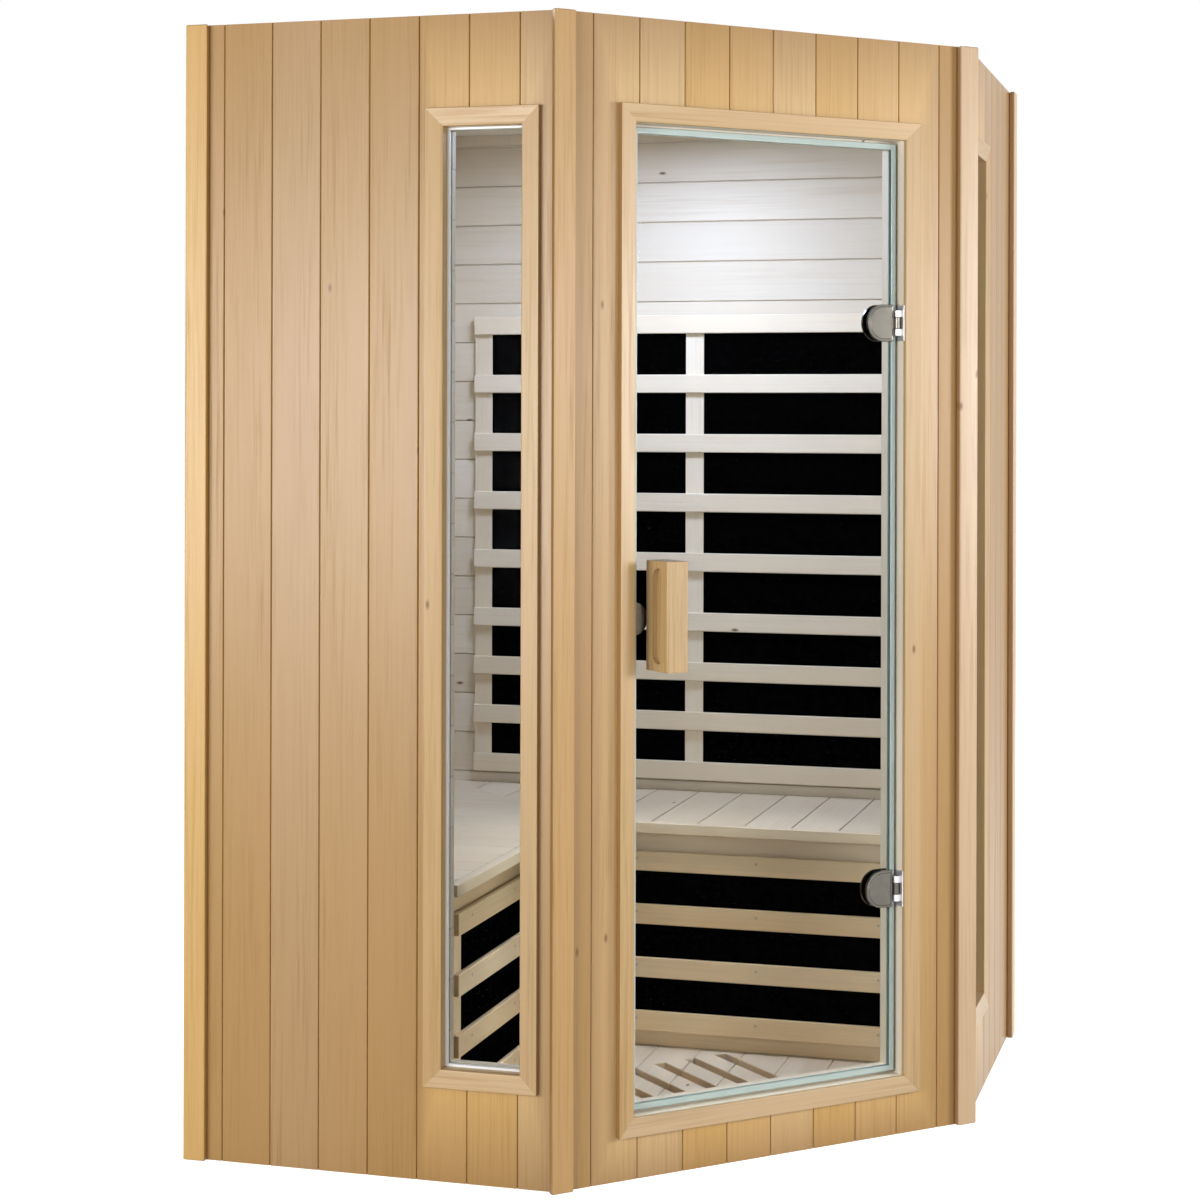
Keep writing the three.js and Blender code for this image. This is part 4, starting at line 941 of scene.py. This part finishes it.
# Glass door
# A frameless pane with a soft clear channel seal pushed on all round its edge. The seal is milky PVC with a
# slight mint cast, brighter where light gathers in it.

dress(clear_glass, "door_glass")
seal_mint = moulded_plastic("milky_pvc_seal", "#B4C2BE", "#A3B2AD", 0.22, milky=0.9)
SEAL_FLANGE = 0.0105
SEAL_LIP = 0.0017
seal_low, seal_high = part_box("door_seal")


def seal_ring():
    """A ring round the pane, rounded at the front and back, with a channel for the glass."""
    middle = (seal_low + seal_high) / 2
    size = seal_high - seal_low
    flange = Vector((SEAL_FLANGE, -0.01, SEAL_FLANGE))
    ring = block("ring", seal_low, seal_high)
    inner = block("inner", seal_low + flange, seal_high - flange)
    cut(ring, inner)
    discard(inner)
    work_on(ring)
    bpy.ops.object.mode_set(mode="EDIT")
    for depth in (SEAL_LIP, size.y - SEAL_LIP):
        bpy.ops.mesh.select_all(action="SELECT")
        bpy.ops.mesh.bisect(plane_co=(0, seal_low.y + depth, 0), plane_no=(0, 1, 0))
    bpy.ops.object.mode_set(mode="OBJECT")
    reach = Vector((size.x / 2 - SEAL_FLANGE, 0, size.z / 2 - SEAL_FLANGE))

    def at_pane(place, way):
        inside = abs(place.x - middle.x) < reach.x + 0.0001 and abs(place.z - middle.z) < reach.z + 0.0001
        return inside and abs(place.y - middle.y) < size.y / 2 - SEAL_LIP and abs(way.y) < 0.1

    pick(ring, "FACE", at_pane)
    bpy.ops.mesh.extrude_region_shrink_fatten(
        TRANSFORM_OT_shrink_fatten={"value": SEAL_LIP - SEAL_FLANGE, "use_even_offset": True},
    )
    bpy.ops.object.mode_set(mode="OBJECT")

    def outer_edge(place, way):
        at_side = abs(place.x - middle.x) > size.x / 2 - 0.0001
        at_top_or_bottom = abs(place.z - middle.z) > size.z / 2 - 0.0001
        at_face = abs(place.y - middle.y) > size.y / 2 - 0.0001
        return (at_side or at_top_or_bottom) and at_face and abs(way.y) < 0.1

    def lip_edge(place, way):
        inside = abs(place.x - middle.x) < reach.x + 0.0001 and abs(place.z - middle.z) < reach.z + 0.0001
        return inside and abs(way.y) < 0.1 and abs(place.y - middle.y) > size.y / 2 - 0.0001

    ease(ring, 0.0032, 4, outer_edge)
    return ease(ring, 0.0012, 3, lip_edge)


fit(assemble("door_edge_seal", [seal_ring()]), "door", "seal_plastic", seal_mint, "door_seal")


# Door handle
# A block of hemlock with an oblong finger grip routed into each side, screwed on through the glass from a
# thin back plate of the same wood.

handle_low, handle_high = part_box("door_handle")
GRIP_FROM_FRONT = 0.014
GRIP_WIDTH = 0.034
GRIP_HEIGHT = 0.157
GRIP_DEPTH = 0.009
handle = block("handle", handle_low, handle_high)
ease(handle, 0.003, 4, lambda middle, way: abs(way.z) > 0.9 and middle.y < handle_low.y + 0.001)
ease(handle, 0.001, 2, lambda middle, way: abs(way.z) < 0.1)
handle_middle = (handle_low + handle_high) / 2
grip_front = handle_low.y + GRIP_FROM_FRONT
for outer, inner in (
    (handle_low.x - GRIP_DEPTH, handle_low.x + GRIP_DEPTH),
    (handle_high.x - GRIP_DEPTH, handle_high.x + GRIP_DEPTH),
):
    grip = block(
        "grip",
        (outer, grip_front, handle_middle.z - GRIP_HEIGHT / 2),
        (inner, grip_front + GRIP_WIDTH, handle_middle.z + GRIP_HEIGHT / 2),
    )
    ease(grip, GRIP_WIDTH / 2 - 0.0002, 8, lambda middle, way: abs(way.x) > 0.9)
    cut(handle, grip)
    discard(grip)
grain(handle, Matrix.Translation((handle_middle.x, handle_low.y, handle_low.z)))
fit(assemble("pull_handle", [handle]), "door", "outer_wood", moulding, "door_handle")
dress(jamb_wood, "door_handle_back_plate")


# Strike plate and magnetic catch
# A half-round of brushed steel behind the glass meets a magnetic catch on the stop.

brushed_steel = metal("brushed_steel", "#A9A59E", "#8E8A84", 0.32, 0.0004)
catch_black = moulded_plastic("black_abs", "#1B1C1E", "#2A2B2D", 0.4)
dress(brushed_steel, "door_strike_plate")
dress(catch_black, "door_magnet_catch")


# Hinges
# Polished chrome hinges for a glass door: a D-shaped plate bolted through the pane, and a leaf with three
# knuckles screwed to the jamb.

# The chrome of the D-plates and back plates is given a dark grey-brown in place of the dark surroundings it
# mirrors: painted reflection.
chrome = metal("polished_chrome_painted_dark_reflection", "#6C6962", "#5B5852", 0.2, 0.0006)
satin_chrome = metal("satin_chrome", "#DAD8DA", "#C6C3C4", 0.45, 0.0006)
PIVOT = Vector((0.2615, -0.63303))
HINGE_HEIGHTS = {"upper": 1.410, "lower": 0.426}
KNUCKLE_RADIUS = 0.005
MIDDLE_KNUCKLE = 0.020
OUTER_KNUCKLE = 0.012
D_RADIUS = 0.032
D_STRAIGHT = 0.022
D_RIGHT = 0.2560
D_FRONT, D_BACK = -0.63013, -0.62413


def knuckle(low, high):
    """A short barrel on the hinge pin with eased ends."""
    bpy.ops.object.select_all(action="DESELECT")
    bpy.ops.mesh.primitive_cylinder_add(
        vertices=32, radius=KNUCKLE_RADIUS, depth=high - low, location=(PIVOT.x, PIVOT.y, (low + high) / 2),
    )
    bpy.ops.object.transform_apply(location=True, rotation=True, scale=True)
    return ease(bpy.context.object, 0.0006, 2, lambda middle, way: abs(way.z) < 0.1)


def d_plate(height):
    """A half-round plate with a straight tail, a rounded rim and a raised face."""
    centre = D_RIGHT - D_STRAIGHT
    bpy.ops.object.select_all(action="DESELECT")
    bpy.ops.mesh.primitive_cylinder_add(
        vertices=96, radius=D_RADIUS, depth=D_BACK - D_FRONT,
        location=(centre, (D_FRONT + D_BACK) / 2, height), rotation=(math.pi / 2, 0, 0),
    )
    bpy.ops.object.transform_apply(location=True, rotation=True, scale=True)
    plate = bpy.context.object
    saw(plate, (centre, 0, 0), (1, 0, 0))
    pick(plate, "FACE", lambda middle, way: way.x > 0.99 and middle.x > centre - 0.0001)
    bpy.ops.mesh.extrude_region_move(TRANSFORM_OT_translate={"value": (D_STRAIGHT, 0, 0)})
    bpy.ops.object.mode_set(mode="OBJECT")
    pick(plate, "FACE", lambda middle, way: way.y < -0.99)
    bpy.ops.mesh.dissolve_faces()
    bpy.ops.object.mode_set(mode="OBJECT")
    pick(plate, "FACE", lambda middle, way: way.y < -0.99)
    bpy.ops.mesh.inset(thickness=0.0042, depth=0.0)
    bpy.ops.mesh.extrude_region_move(TRANSFORM_OT_translate={"value": (0, -0.0009, 0)})
    bpy.ops.object.mode_set(mode="OBJECT")
    rims = (D_FRONT, D_FRONT - 0.0009)
    return ease(
        plate, 0.0008, 3,
        lambda middle, way: abs(way.y) < 0.5 and min(abs(middle.y - rim) for rim in rims) < 0.00005,
    )


for place_name, height in HINGE_HEIGHTS.items():
    half = MIDDLE_KNUCKLE / 2
    web = ease(
        block(
            "web",
            (D_RIGHT - 0.004, D_FRONT - 0.0009, height - half),
            (PIVOT.x, D_FRONT + 0.004, height + half),
        ),
        0.0006, 2,
    )
    door_side = assemble(
        f"{place_name}_hinge_d_plate", [d_plate(height), web, knuckle(height - half, height + half)],
    )
    fit(door_side, "door", "chrome", chrome, f"{place_name}_hinge_plate")
    leaf_low, leaf_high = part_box(f"{place_name}_hinge_leaf")
    leaf_front = leaf_high.x - 0.0025
    parts = [
        ease(block("leaf", (leaf_front, leaf_low.y, leaf_low.z), leaf_high), 0.0006, 2),
        knuckle(height + half + FIT_GAP, height + half + OUTER_KNUCKLE),
        knuckle(height - half - OUTER_KNUCKLE, height - half - FIT_GAP),
    ]
    for way in (-1, 1):
        near, far = height + way * (half + FIT_GAP), height + way * (half + OUTER_KNUCKLE)
        parts.append(
            ease(
                block(
                    "leaf_web",
                    (PIVOT.x, PIVOT.y - KNUCKLE_RADIUS, min(near, far)),
                    (leaf_front + 0.0002, PIVOT.y + 0.002, max(near, far)),
                ),
                0.0005, 2,
            )
        )
    jamb_side = assemble(f"{place_name}_hinge_jamb_leaf", parts)
    fit(jamb_side, "cabin", "chrome", satin_chrome, f"{place_name}_hinge_leaf")
    dress(chrome, f"{place_name}_hinge_back_plate")


# Bench seats
# Basswood boards laid from the wall to the front edge, on a ledger and the skirt. A nosing covers their
# front ends, and the two seats meet in a mitre at the rear corner.

SEAT_TOP = 0.468
SEAT_THICKNESS = 0.021
SEAT_BACK = WALL_DEPTH + FIT_GAP
SEAT_FRONT = 0.455
NOSING = 0.018
MITRE_GAP = 0.00025
# Board axes: along the wall, down into the board, out from the wall
seat_axes = Matrix(((1, 0, 0, 0), (0, 0, 1, 0), (0, -1, 0, 0), (0, 0, 0, 1)))
# Board axes: up the wall, back into the board, along the wall
level_axes = Matrix(((0, 0, 1, 0), (0, -1, 0, 0), (1, 0, 0, 0), (0, 0, 0, 1)))
SEAT_START = WALL_DEPTH + 0.033
corner_point = (BACK_LENGTH - MITRE_GAP, 0, 0)
corner_way = (ROOT_HALF, ROOT_HALF, 0)


def bench_seat(name, pitch, first_joint):
    """A seat on the right back wall: boards from the wall to the nosing, sawn on the mitre."""
    pattern = plank(pitch - 0.0014, SEAT_THICKNESS, SEAT_FRONT - NOSING - SEAT_BACK, 0.0022)
    boards = []
    along = first_joint - pitch / 2
    while along - pitch / 2 < BACK_LENGTH - SEAT_BACK:
        place = Matrix.Translation((along, SEAT_BACK, SEAT_TOP)) @ seat_axes
        board = lay(pattern, place)
        if along - pitch / 2 < SEAT_START:
            saw(board, (SEAT_START, 0, 0), (-1, 0, 0))
        if along + pitch / 2 > BACK_LENGTH - SEAT_FRONT:
            saw(board, corner_point, corner_way)
        boards.append(grain(board, place))
        along += pitch
    discard(pattern)
    for board in boards:
        board.data.transform(back_wall)
    return assemble(name, boards)


# The seats and their nosing are a little creamier than the lining
CREAM_BASSWOOD = dict(BASSWOOD, colours=("#E6D8C0", "#CCB694", "#E1CFB5", "#74522F"))
# Painted shade darkens the joints between the seat boards.
seat_wood = board_wood("sanded_basswood_seat", CREAM_BASSWOOD, 0.9)
right_boards = bench_seat("right_bench_boards", 0.0913, 0.1765)
fit(right_boards, "cabin", "inner_wood", seat_wood, "right_bench_seat")
left_pattern = bench_seat("left_pattern", 0.0785, 0.1309)
fit(left_pattern, "cabin", "inner_wood", seat_wood)
mirror(left_pattern, "left_bench_boards", "left_bench_seat")
discard(left_pattern)

nosing_wood = board_wood("sanded_basswood_nosing", CREAM_BASSWOOD, 0.0)
strip = plank(SEAT_THICKNESS, NOSING - 0.0003, BACK_LENGTH - SEAT_BACK - SEAT_START, 0.0022)
place = Matrix.Translation((SEAT_START, SEAT_FRONT, SEAT_TOP - SEAT_THICKNESS / 2)) @ level_axes
nosing = grain(lay(strip, place), place)
discard(strip)
saw(nosing, corner_point, corner_way)
nosing.data.transform(back_wall)
right_nosing = fit(assemble("right_bench_nosing", [nosing]), "cabin", "inner_wood", nosing_wood)
mirror(right_nosing, "left_bench_nosing")


# Bench skirts
# A plain basswood panel closes the space under each seat and carries the lower heater.

# A darker, warmer copy of the basswood for the skirts and their slats, which stand in the shade under the
# seats: painted shade
SHADED_BASSWOOD = dict(BASSWOOD, colours=("#DFCAA8", "#BFA47B", "#DABF99", "#74522F"))
skirt_right = lining_wood("skirt_right", 135, 200.0, SHADED_BASSWOOD, 0.0)
skirt_left = lining_wood("skirt_left", -135, 240.0, SHADED_BASSWOOD, 0.0)
dress(skirt_right, "right_bench_skirt")
dress(skirt_left, "left_bench_skirt")


# Heaters
# Thin carbon heating panels behind the slats, with a dead black, slightly mottled face pressed in from a
# narrow rim all round.

STILE_WIDTH = 0.038
HEATER_THICKNESS = 0.0067


def heater(name, start, length, wall_face, low, high, node, twin_name, twin_node):
    """A flat black panel with a narrow raised rim."""
    inset = STILE_WIDTH + FIT_GAP
    back = wall_face + FIT_GAP
    panel = block(
        "panel", (start + inset, back, low), (start + length - inset, back + HEATER_THICKNESS, high),
    )
    pick(panel, "FACE", lambda middle, way: way.y > 0.99)
    bpy.ops.mesh.inset(thickness=0.006, depth=0.0)
    bpy.ops.mesh.inset(thickness=0.0008, depth=-0.0008)
    bpy.ops.object.mode_set(mode="OBJECT")
    panel.data.transform(back_wall)
    piece = fit(assemble(name, [panel]), "cabin", "heater_black", carbon, node)
    mirror(piece, twin_name, twin_node)


carbon = moulded_plastic("carbon_heater", "#010101", "#040404", 0.9, 0.002, 0.0)
BACK_GUARD_START, BACK_GUARD_LENGTH = 0.143, 0.982
back_heater_low, back_heater_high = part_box("back_right_heater")
heater(
    "back_right_panel", BACK_GUARD_START, BACK_GUARD_LENGTH, WALL_DEPTH, back_heater_low.z,
    back_heater_high.z - 0.004, "back_right_heater", "back_left_panel", "back_left_heater",
)
SKIRT_GUARD_START, SKIRT_GUARD_LENGTH, SKIRT_FACE = 0.125, 0.640, 0.423
skirt_heater_low, skirt_heater_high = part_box("right_skirt_heater")
heater(
    "right_skirt_panel", SKIRT_GUARD_START, SKIRT_GUARD_LENGTH, SKIRT_FACE, skirt_heater_low.z,
    skirt_heater_high.z - 0.006, "right_skirt_heater", "left_skirt_panel", "left_skirt_heater",
)


# Slatted guards
# Rounded basswood slats screwed across upright stiles keep people off the heaters, on the back walls and on
# the bench skirts.

SLAT_HEIGHT = 0.038
SLAT_THICKNESS = 0.010
HEATER_ROOM = 0.0076


def guard(name, start, length, wall_face, bottoms, stiles, material, node, twin_name, twin_node):
    """Slats across the front of upright stiles."""
    slat_back = wall_face + FIT_GAP + HEATER_ROOM
    slat = plank(SLAT_HEIGHT, SLAT_THICKNESS, length, 0.0018)
    boards = []
    for bottom in bottoms:
        place = Matrix.Translation((start, slat_back + SLAT_THICKNESS, bottom + SLAT_HEIGHT / 2)) @ level_axes
        boards.append(grain(lay(slat, place), place))
    discard(slat)
    upright = Matrix.Rotation(math.pi, 4, "Z")
    height = bottoms[-1] - bottoms[0] + SLAT_HEIGHT - 0.001
    for offset, back in stiles:
        stile = plank(STILE_WIDTH, slat_back - wall_face - back, height, 0.0008)
        middle = start + offset + STILE_WIDTH / 2
        place = Matrix.Translation((middle, slat_back, bottoms[0] + 0.0005)) @ upright
        boards.append(grain(lay(stile, place), place))
        discard(stile)
    for board in boards:
        board.data.transform(back_wall)
    piece = fit(assemble(name, boards), "cabin", "inner_wood", material, node)
    mirror(piece, twin_name, twin_node)


# A paler copy of the basswood for the back slats, in place of the stronger light from the cabin lamp on them:
# painted light
LIT_BASSWOOD = dict(BASSWOOD, colours=("#EDE0CB", "#D5C1A0", "#E8D8BF", "#74522F"))
slat_wood = board_wood("sanded_basswood_slats_painted_light", LIT_BASSWOOD, 0.0)
back_bottoms = [0.4925]
for gap in (0.065, 0.065, 0.065, 0.0854, 0.0854, 0.0854, 0.0854, 0.0854):
    back_bottoms.append(back_bottoms[-1] + SLAT_HEIGHT + gap)
MIDDLE_STILE_SHIFT = 0.010
guard(
    "back_right_slats", BACK_GUARD_START, BACK_GUARD_LENGTH, WALL_DEPTH, back_bottoms,
    (
        (0.0, FIT_GAP),
        ((BACK_GUARD_LENGTH - STILE_WIDTH) / 2 + MIDDLE_STILE_SHIFT, HEATER_ROOM),
        (BACK_GUARD_LENGTH - STILE_WIDTH, FIT_GAP),
    ),
    slat_wood, "back_right_guard", "back_left_slats", "back_left_guard",
)
# The skirt slats take the same darker, warmer copy of the basswood: painted shade.
shaded_slat_wood = board_wood("basswood_slats_painted_shade", SHADED_BASSWOOD, 0.0)
skirt_bottoms = [0.065 + step * (SLAT_HEIGHT + 0.0645) for step in range(4)]
guard(
    "right_skirt_slats", SKIRT_GUARD_START, SKIRT_GUARD_LENGTH, SKIRT_FACE, skirt_bottoms,
    ((0.0, FIT_GAP), (SKIRT_GUARD_LENGTH - STILE_WIDTH, FIT_GAP)),
    shaded_slat_wood, "right_skirt_guard", "left_skirt_slats", "left_skirt_guard",
)
SKIRT_SLAT_FRONT = SKIRT_FACE + FIT_GAP + HEATER_ROOM + SLAT_THICKNESS
facing_in = Matrix.Rotation(-math.pi / 2, 4, "X")
slat_screws = []
for bottom in skirt_bottoms:
    for offset in (0.0675, 0.302, 0.5365):
        spot = (SKIRT_GUARD_START + offset, SKIRT_SLAT_FRONT, bottom + 0.024)
        slat_screws.append(back_wall @ Matrix.Translation(spot) @ facing_in)
mirror(drive_screws("right_guard_screws", brushed_steel, slat_screws), "left_guard_screws")


# Ceiling, cornice, vent, light and roof cover
# The ceiling is a framed panel of pale boards with a small cornice below it, a wooden vent with a sliding
# shutter, an opal lamp, and a plywood cover with the power unit under it.

# The ceiling's board joints carry painted shade.
ceiling_wood = lining_wood("ceiling_boards", 135, 280.0, BASSWOOD, 0.3)
cornice_wood = bare_material("cornice_basswood")
cornice_place = shade(cornice_wood, "ShaderNodeTexCoord").outputs["Object"]
wood(cornice_wood, cornice_place, 0.5, 0.0, BASSWOOD)
dress(ceiling_wood, "ceiling_panel")
dress(cornice_wood, "ceiling_cornice", "vent_frame", "vent_shutter")
dress(moulded_plastic("opal_lamp", "#F4F3EE", "#E6E4DC", 0.3), "ceiling_light")
dress(plywood("roof_plywood", (0, math.pi / 2, 0)), "roof_cover")
dress(zinc, "power_unit")
roof_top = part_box("roof_cover")[1].z
SCREWS_PER_SIDE = 5
roof_corners = [Vector(corner) for corner in cabin_plan(0.030)]
roof_screws = []
for first, last in zip(roof_corners, roof_corners[1:] + roof_corners[:1]):
    for step in range(SCREWS_PER_SIDE):
        x, y = first.lerp(last, (step + 0.5) / SCREWS_PER_SIDE)
        roof_screws.append(Matrix.Translation((x, y, roof_top)))
drive_screws("roof_screws", zinc, roof_screws)


# Control panel
# A black moulded housing on the right wall inside, with a smoked display let into it and four white push
# buttons: on, lamp, plus and minus. Each button has its mark moulded on its face.

CONTROL_X, CONTROL_Z = 0.380, 1.250
CONTROL_FACE = WALL_DEPTH + FIT_GAP + 0.014
DISPLAY_Z = CONTROL_Z + 0.018
DISPLAY_HALF = Vector((0.0592, 0.0, 0.0192))
BUTTON_FACE = CONTROL_FACE + 0.002
BUTTON_Z = CONTROL_Z - 0.026
BUTTON_PITCH = 0.032
dress(catch_black, "control_panel")
smoked_acrylic = moulded_plastic("smoked_acrylic", "#0B0F10", "#12181A", 0.08)
display_middle = Vector((CONTROL_X, CONTROL_FACE - 0.0009, DISPLAY_Z))
display_depth = Vector((0.0, 0.0005, 0.0))
display = block(
    "display", display_middle - DISPLAY_HALF - display_depth, display_middle + DISPLAY_HALF + display_depth,
)
ease(display, 0.0003, 2, lambda middle, way: middle.y > display_middle.y + 0.0004)
display.data.transform(right_wall)
fit(assemble("control_display", [display]), "cabin", "dark_plastic", smoked_acrylic)

button_white = moulded_plastic("white_abs", "#ECECE8", "#D9D9D4", 0.4)
bar = block("bar", (-0.0028, -0.0002, -0.0006), (0.0028, 0.0003, 0.0006))
ease(bar, 0.0002, 2, lambda middle, way: middle.y > 0.0002)
bar_turns = {"power": (90,), "light": (0, 60, 120), "plus": (0, 90), "minus": (0,)}
for order, (button, turns) in enumerate(bar_turns.items()):
    dress(button_white, f"control_button_{button}")
    along = CONTROL_X + (order - 1.5) * BUTTON_PITCH
    bars = []
    for turn in turns:
        on_face = Matrix.Translation((along, BUTTON_FACE, BUTTON_Z))
        bars.append(lay(bar, right_wall @ on_face @ Matrix.Rotation(math.radians(turn), 4, "Y")))
    fit(assemble(f"{button}_mark", bars), f"{button}_button", "dark_plastic", catch_black)
discard(bar)


# Studio
# A pale floor, a white surround, large soft lamps at the left, the right, the front and the back, and a lamp
# and a narrow downward fill inside, with the camera where the photograph was taken from.

FLOOR_REACH = 30.0
bpy.ops.object.select_all(action="DESELECT")
bpy.ops.mesh.primitive_plane_add(size=2 * FLOOR_REACH)
studio_floor = bpy.context.object
studio_floor.name = "studio_floor"
pale_floor = bare_material("pale_floor")
floor_path = shade(pale_floor, "ShaderNodeLightPath")
seen = shade(
    pale_floor, "ShaderNodeMath",
    {0: floor_path.outputs["Is Camera Ray"], 1: floor_path.outputs["Is Glossy Ray"]}, operation="MAXIMUM",
)
seen_through = shade(
    pale_floor, "ShaderNodeMath",
    {0: seen.outputs[0], 1: floor_path.outputs["Is Transmission Ray"]}, operation="MAXIMUM",
)
glow = shade(
    pale_floor, "ShaderNodeMath", {0: seen_through.outputs[0], 1: 0.95}, operation="MULTIPLY",
)
floor_surface = shade(
    pale_floor, "ShaderNodeBsdfPrincipled",
    {
        "Base Color": linear("#B8B8B8"), "Roughness": 0.9, "Specular IOR Level": 0.0,
        "Emission Color": linear("#FFFFFF"), "Emission Strength": glow.outputs[0],
    },
)
shade(pale_floor, "ShaderNodeOutputMaterial", {"Surface": floor_surface.outputs[0]})
studio_floor.data.materials.append(pale_floor)

world = bpy.data.worlds.new("white_surround")
bpy.context.scene.world = world
world.use_nodes = True
world.node_tree.nodes.clear()
sky_path = shade(world, "ShaderNodeLightPath")
sky_seen = shade(
    world, "ShaderNodeMath",
    {0: sky_path.outputs["Is Camera Ray"], 1: sky_path.outputs["Is Glossy Ray"]}, operation="MAXIMUM",
)
sky_through = shade(
    world, "ShaderNodeMath",
    {0: sky_seen.outputs[0], 1: sky_path.outputs["Is Transmission Ray"]}, operation="MAXIMUM",
)
AMBIENT = 0.14
strength = shade(
    world, "ShaderNodeMapRange", {"Value": sky_through.outputs[0], "To Min": AMBIENT, "To Max": 1.0},
)
sky = shade(world, "ShaderNodeBackground", {"Color": linear("#FFFFFF"), "Strength": strength.outputs[0]})
shade(world, "ShaderNodeOutputWorld", {"Surface": sky.outputs[0]})


def softbox(name, place, target, size, power, colour="#FFFFFF", spread=180):
    """A square soft lamp aimed at a point."""
    lamp = bpy.data.lights.new(name, "AREA")
    lamp.shape = "SQUARE"
    lamp.size = size
    lamp.energy = power
    lamp.color = linear(colour)[:3]
    lamp.spread = math.radians(spread)
    holder = bpy.data.objects.new(name, lamp)
    bpy.context.scene.collection.objects.link(holder)
    holder.location = place
    holder.visible_camera = False
    holder.visible_transmission = False
    holder.rotation_euler = (Vector(target) - Vector(place)).to_track_quat("-Z", "Y").to_euler()
    return holder


softbox("left_softbox", (-3.9, -2.6, 1.3), (-0.5, -0.5, 1.0), 1.3, 86)
softbox("far_left_softbox", (-4.4, -1.15, 1.25), (-0.3, -0.5, 1.0), 1.2, 46)
softbox("right_softbox", (3.75, -3.55, 1.45), (0.2, -0.6, 1.0), 1.1, 140)
softbox("front_right_softbox", (1.35, -4.4, 1.45), (0.2, -0.6, 1.0), 1.0, 42)
softbox("front_softbox", (-1.2, -6.6, 2.0), (-0.1, -0.4, 1.0), 3.0, 54)
softbox("back_left_softbox", (-2.8, 3.4, 3.4), (-0.3, 0.2, 1.2), 1.6, 120)
softbox("back_right_softbox", (2.8, 3.4, 3.4), (0.3, 0.2, 1.2), 1.6, 120)
softbox("cabin_lamp", (0.05, -0.12, 1.82), (0.05, -0.12, 0.0), 0.25, 11.2, "#CADCFF")
softbox("cabin_fill", (0.0, -0.35, 1.79), (0.0, -0.35, 0.0), 0.25, 1.1, "#FFFFFF", 38)

camera = bpy.data.cameras.new("photo_camera")
camera.sensor_width = 36.0
camera.lens = 73.29
camera.shift_y = -0.1540
camera.clip_end = 100.0
camera_holder = bpy.data.objects.new("photo_camera", camera)
bpy.context.scene.collection.objects.link(camera_holder)
CAMERA_PLACE = (-2.2483, -4.1045, 1.2483)
CAMERA_TURN = math.radians(-28.9294)
CAMERA_ROLL = math.radians(0.1476)
aim = Matrix.Rotation(CAMERA_TURN, 4, "Z") @ Matrix.Rotation(math.pi / 2, 4, "X")
camera_holder.matrix_world = Matrix.Translation(CAMERA_PLACE) @ aim @ Matrix.Rotation(CAMERA_ROLL, 4, "Z")
bpy.context.scene.camera = camera_holder
bpy.context.scene.view_settings.view_transform = "Standard"
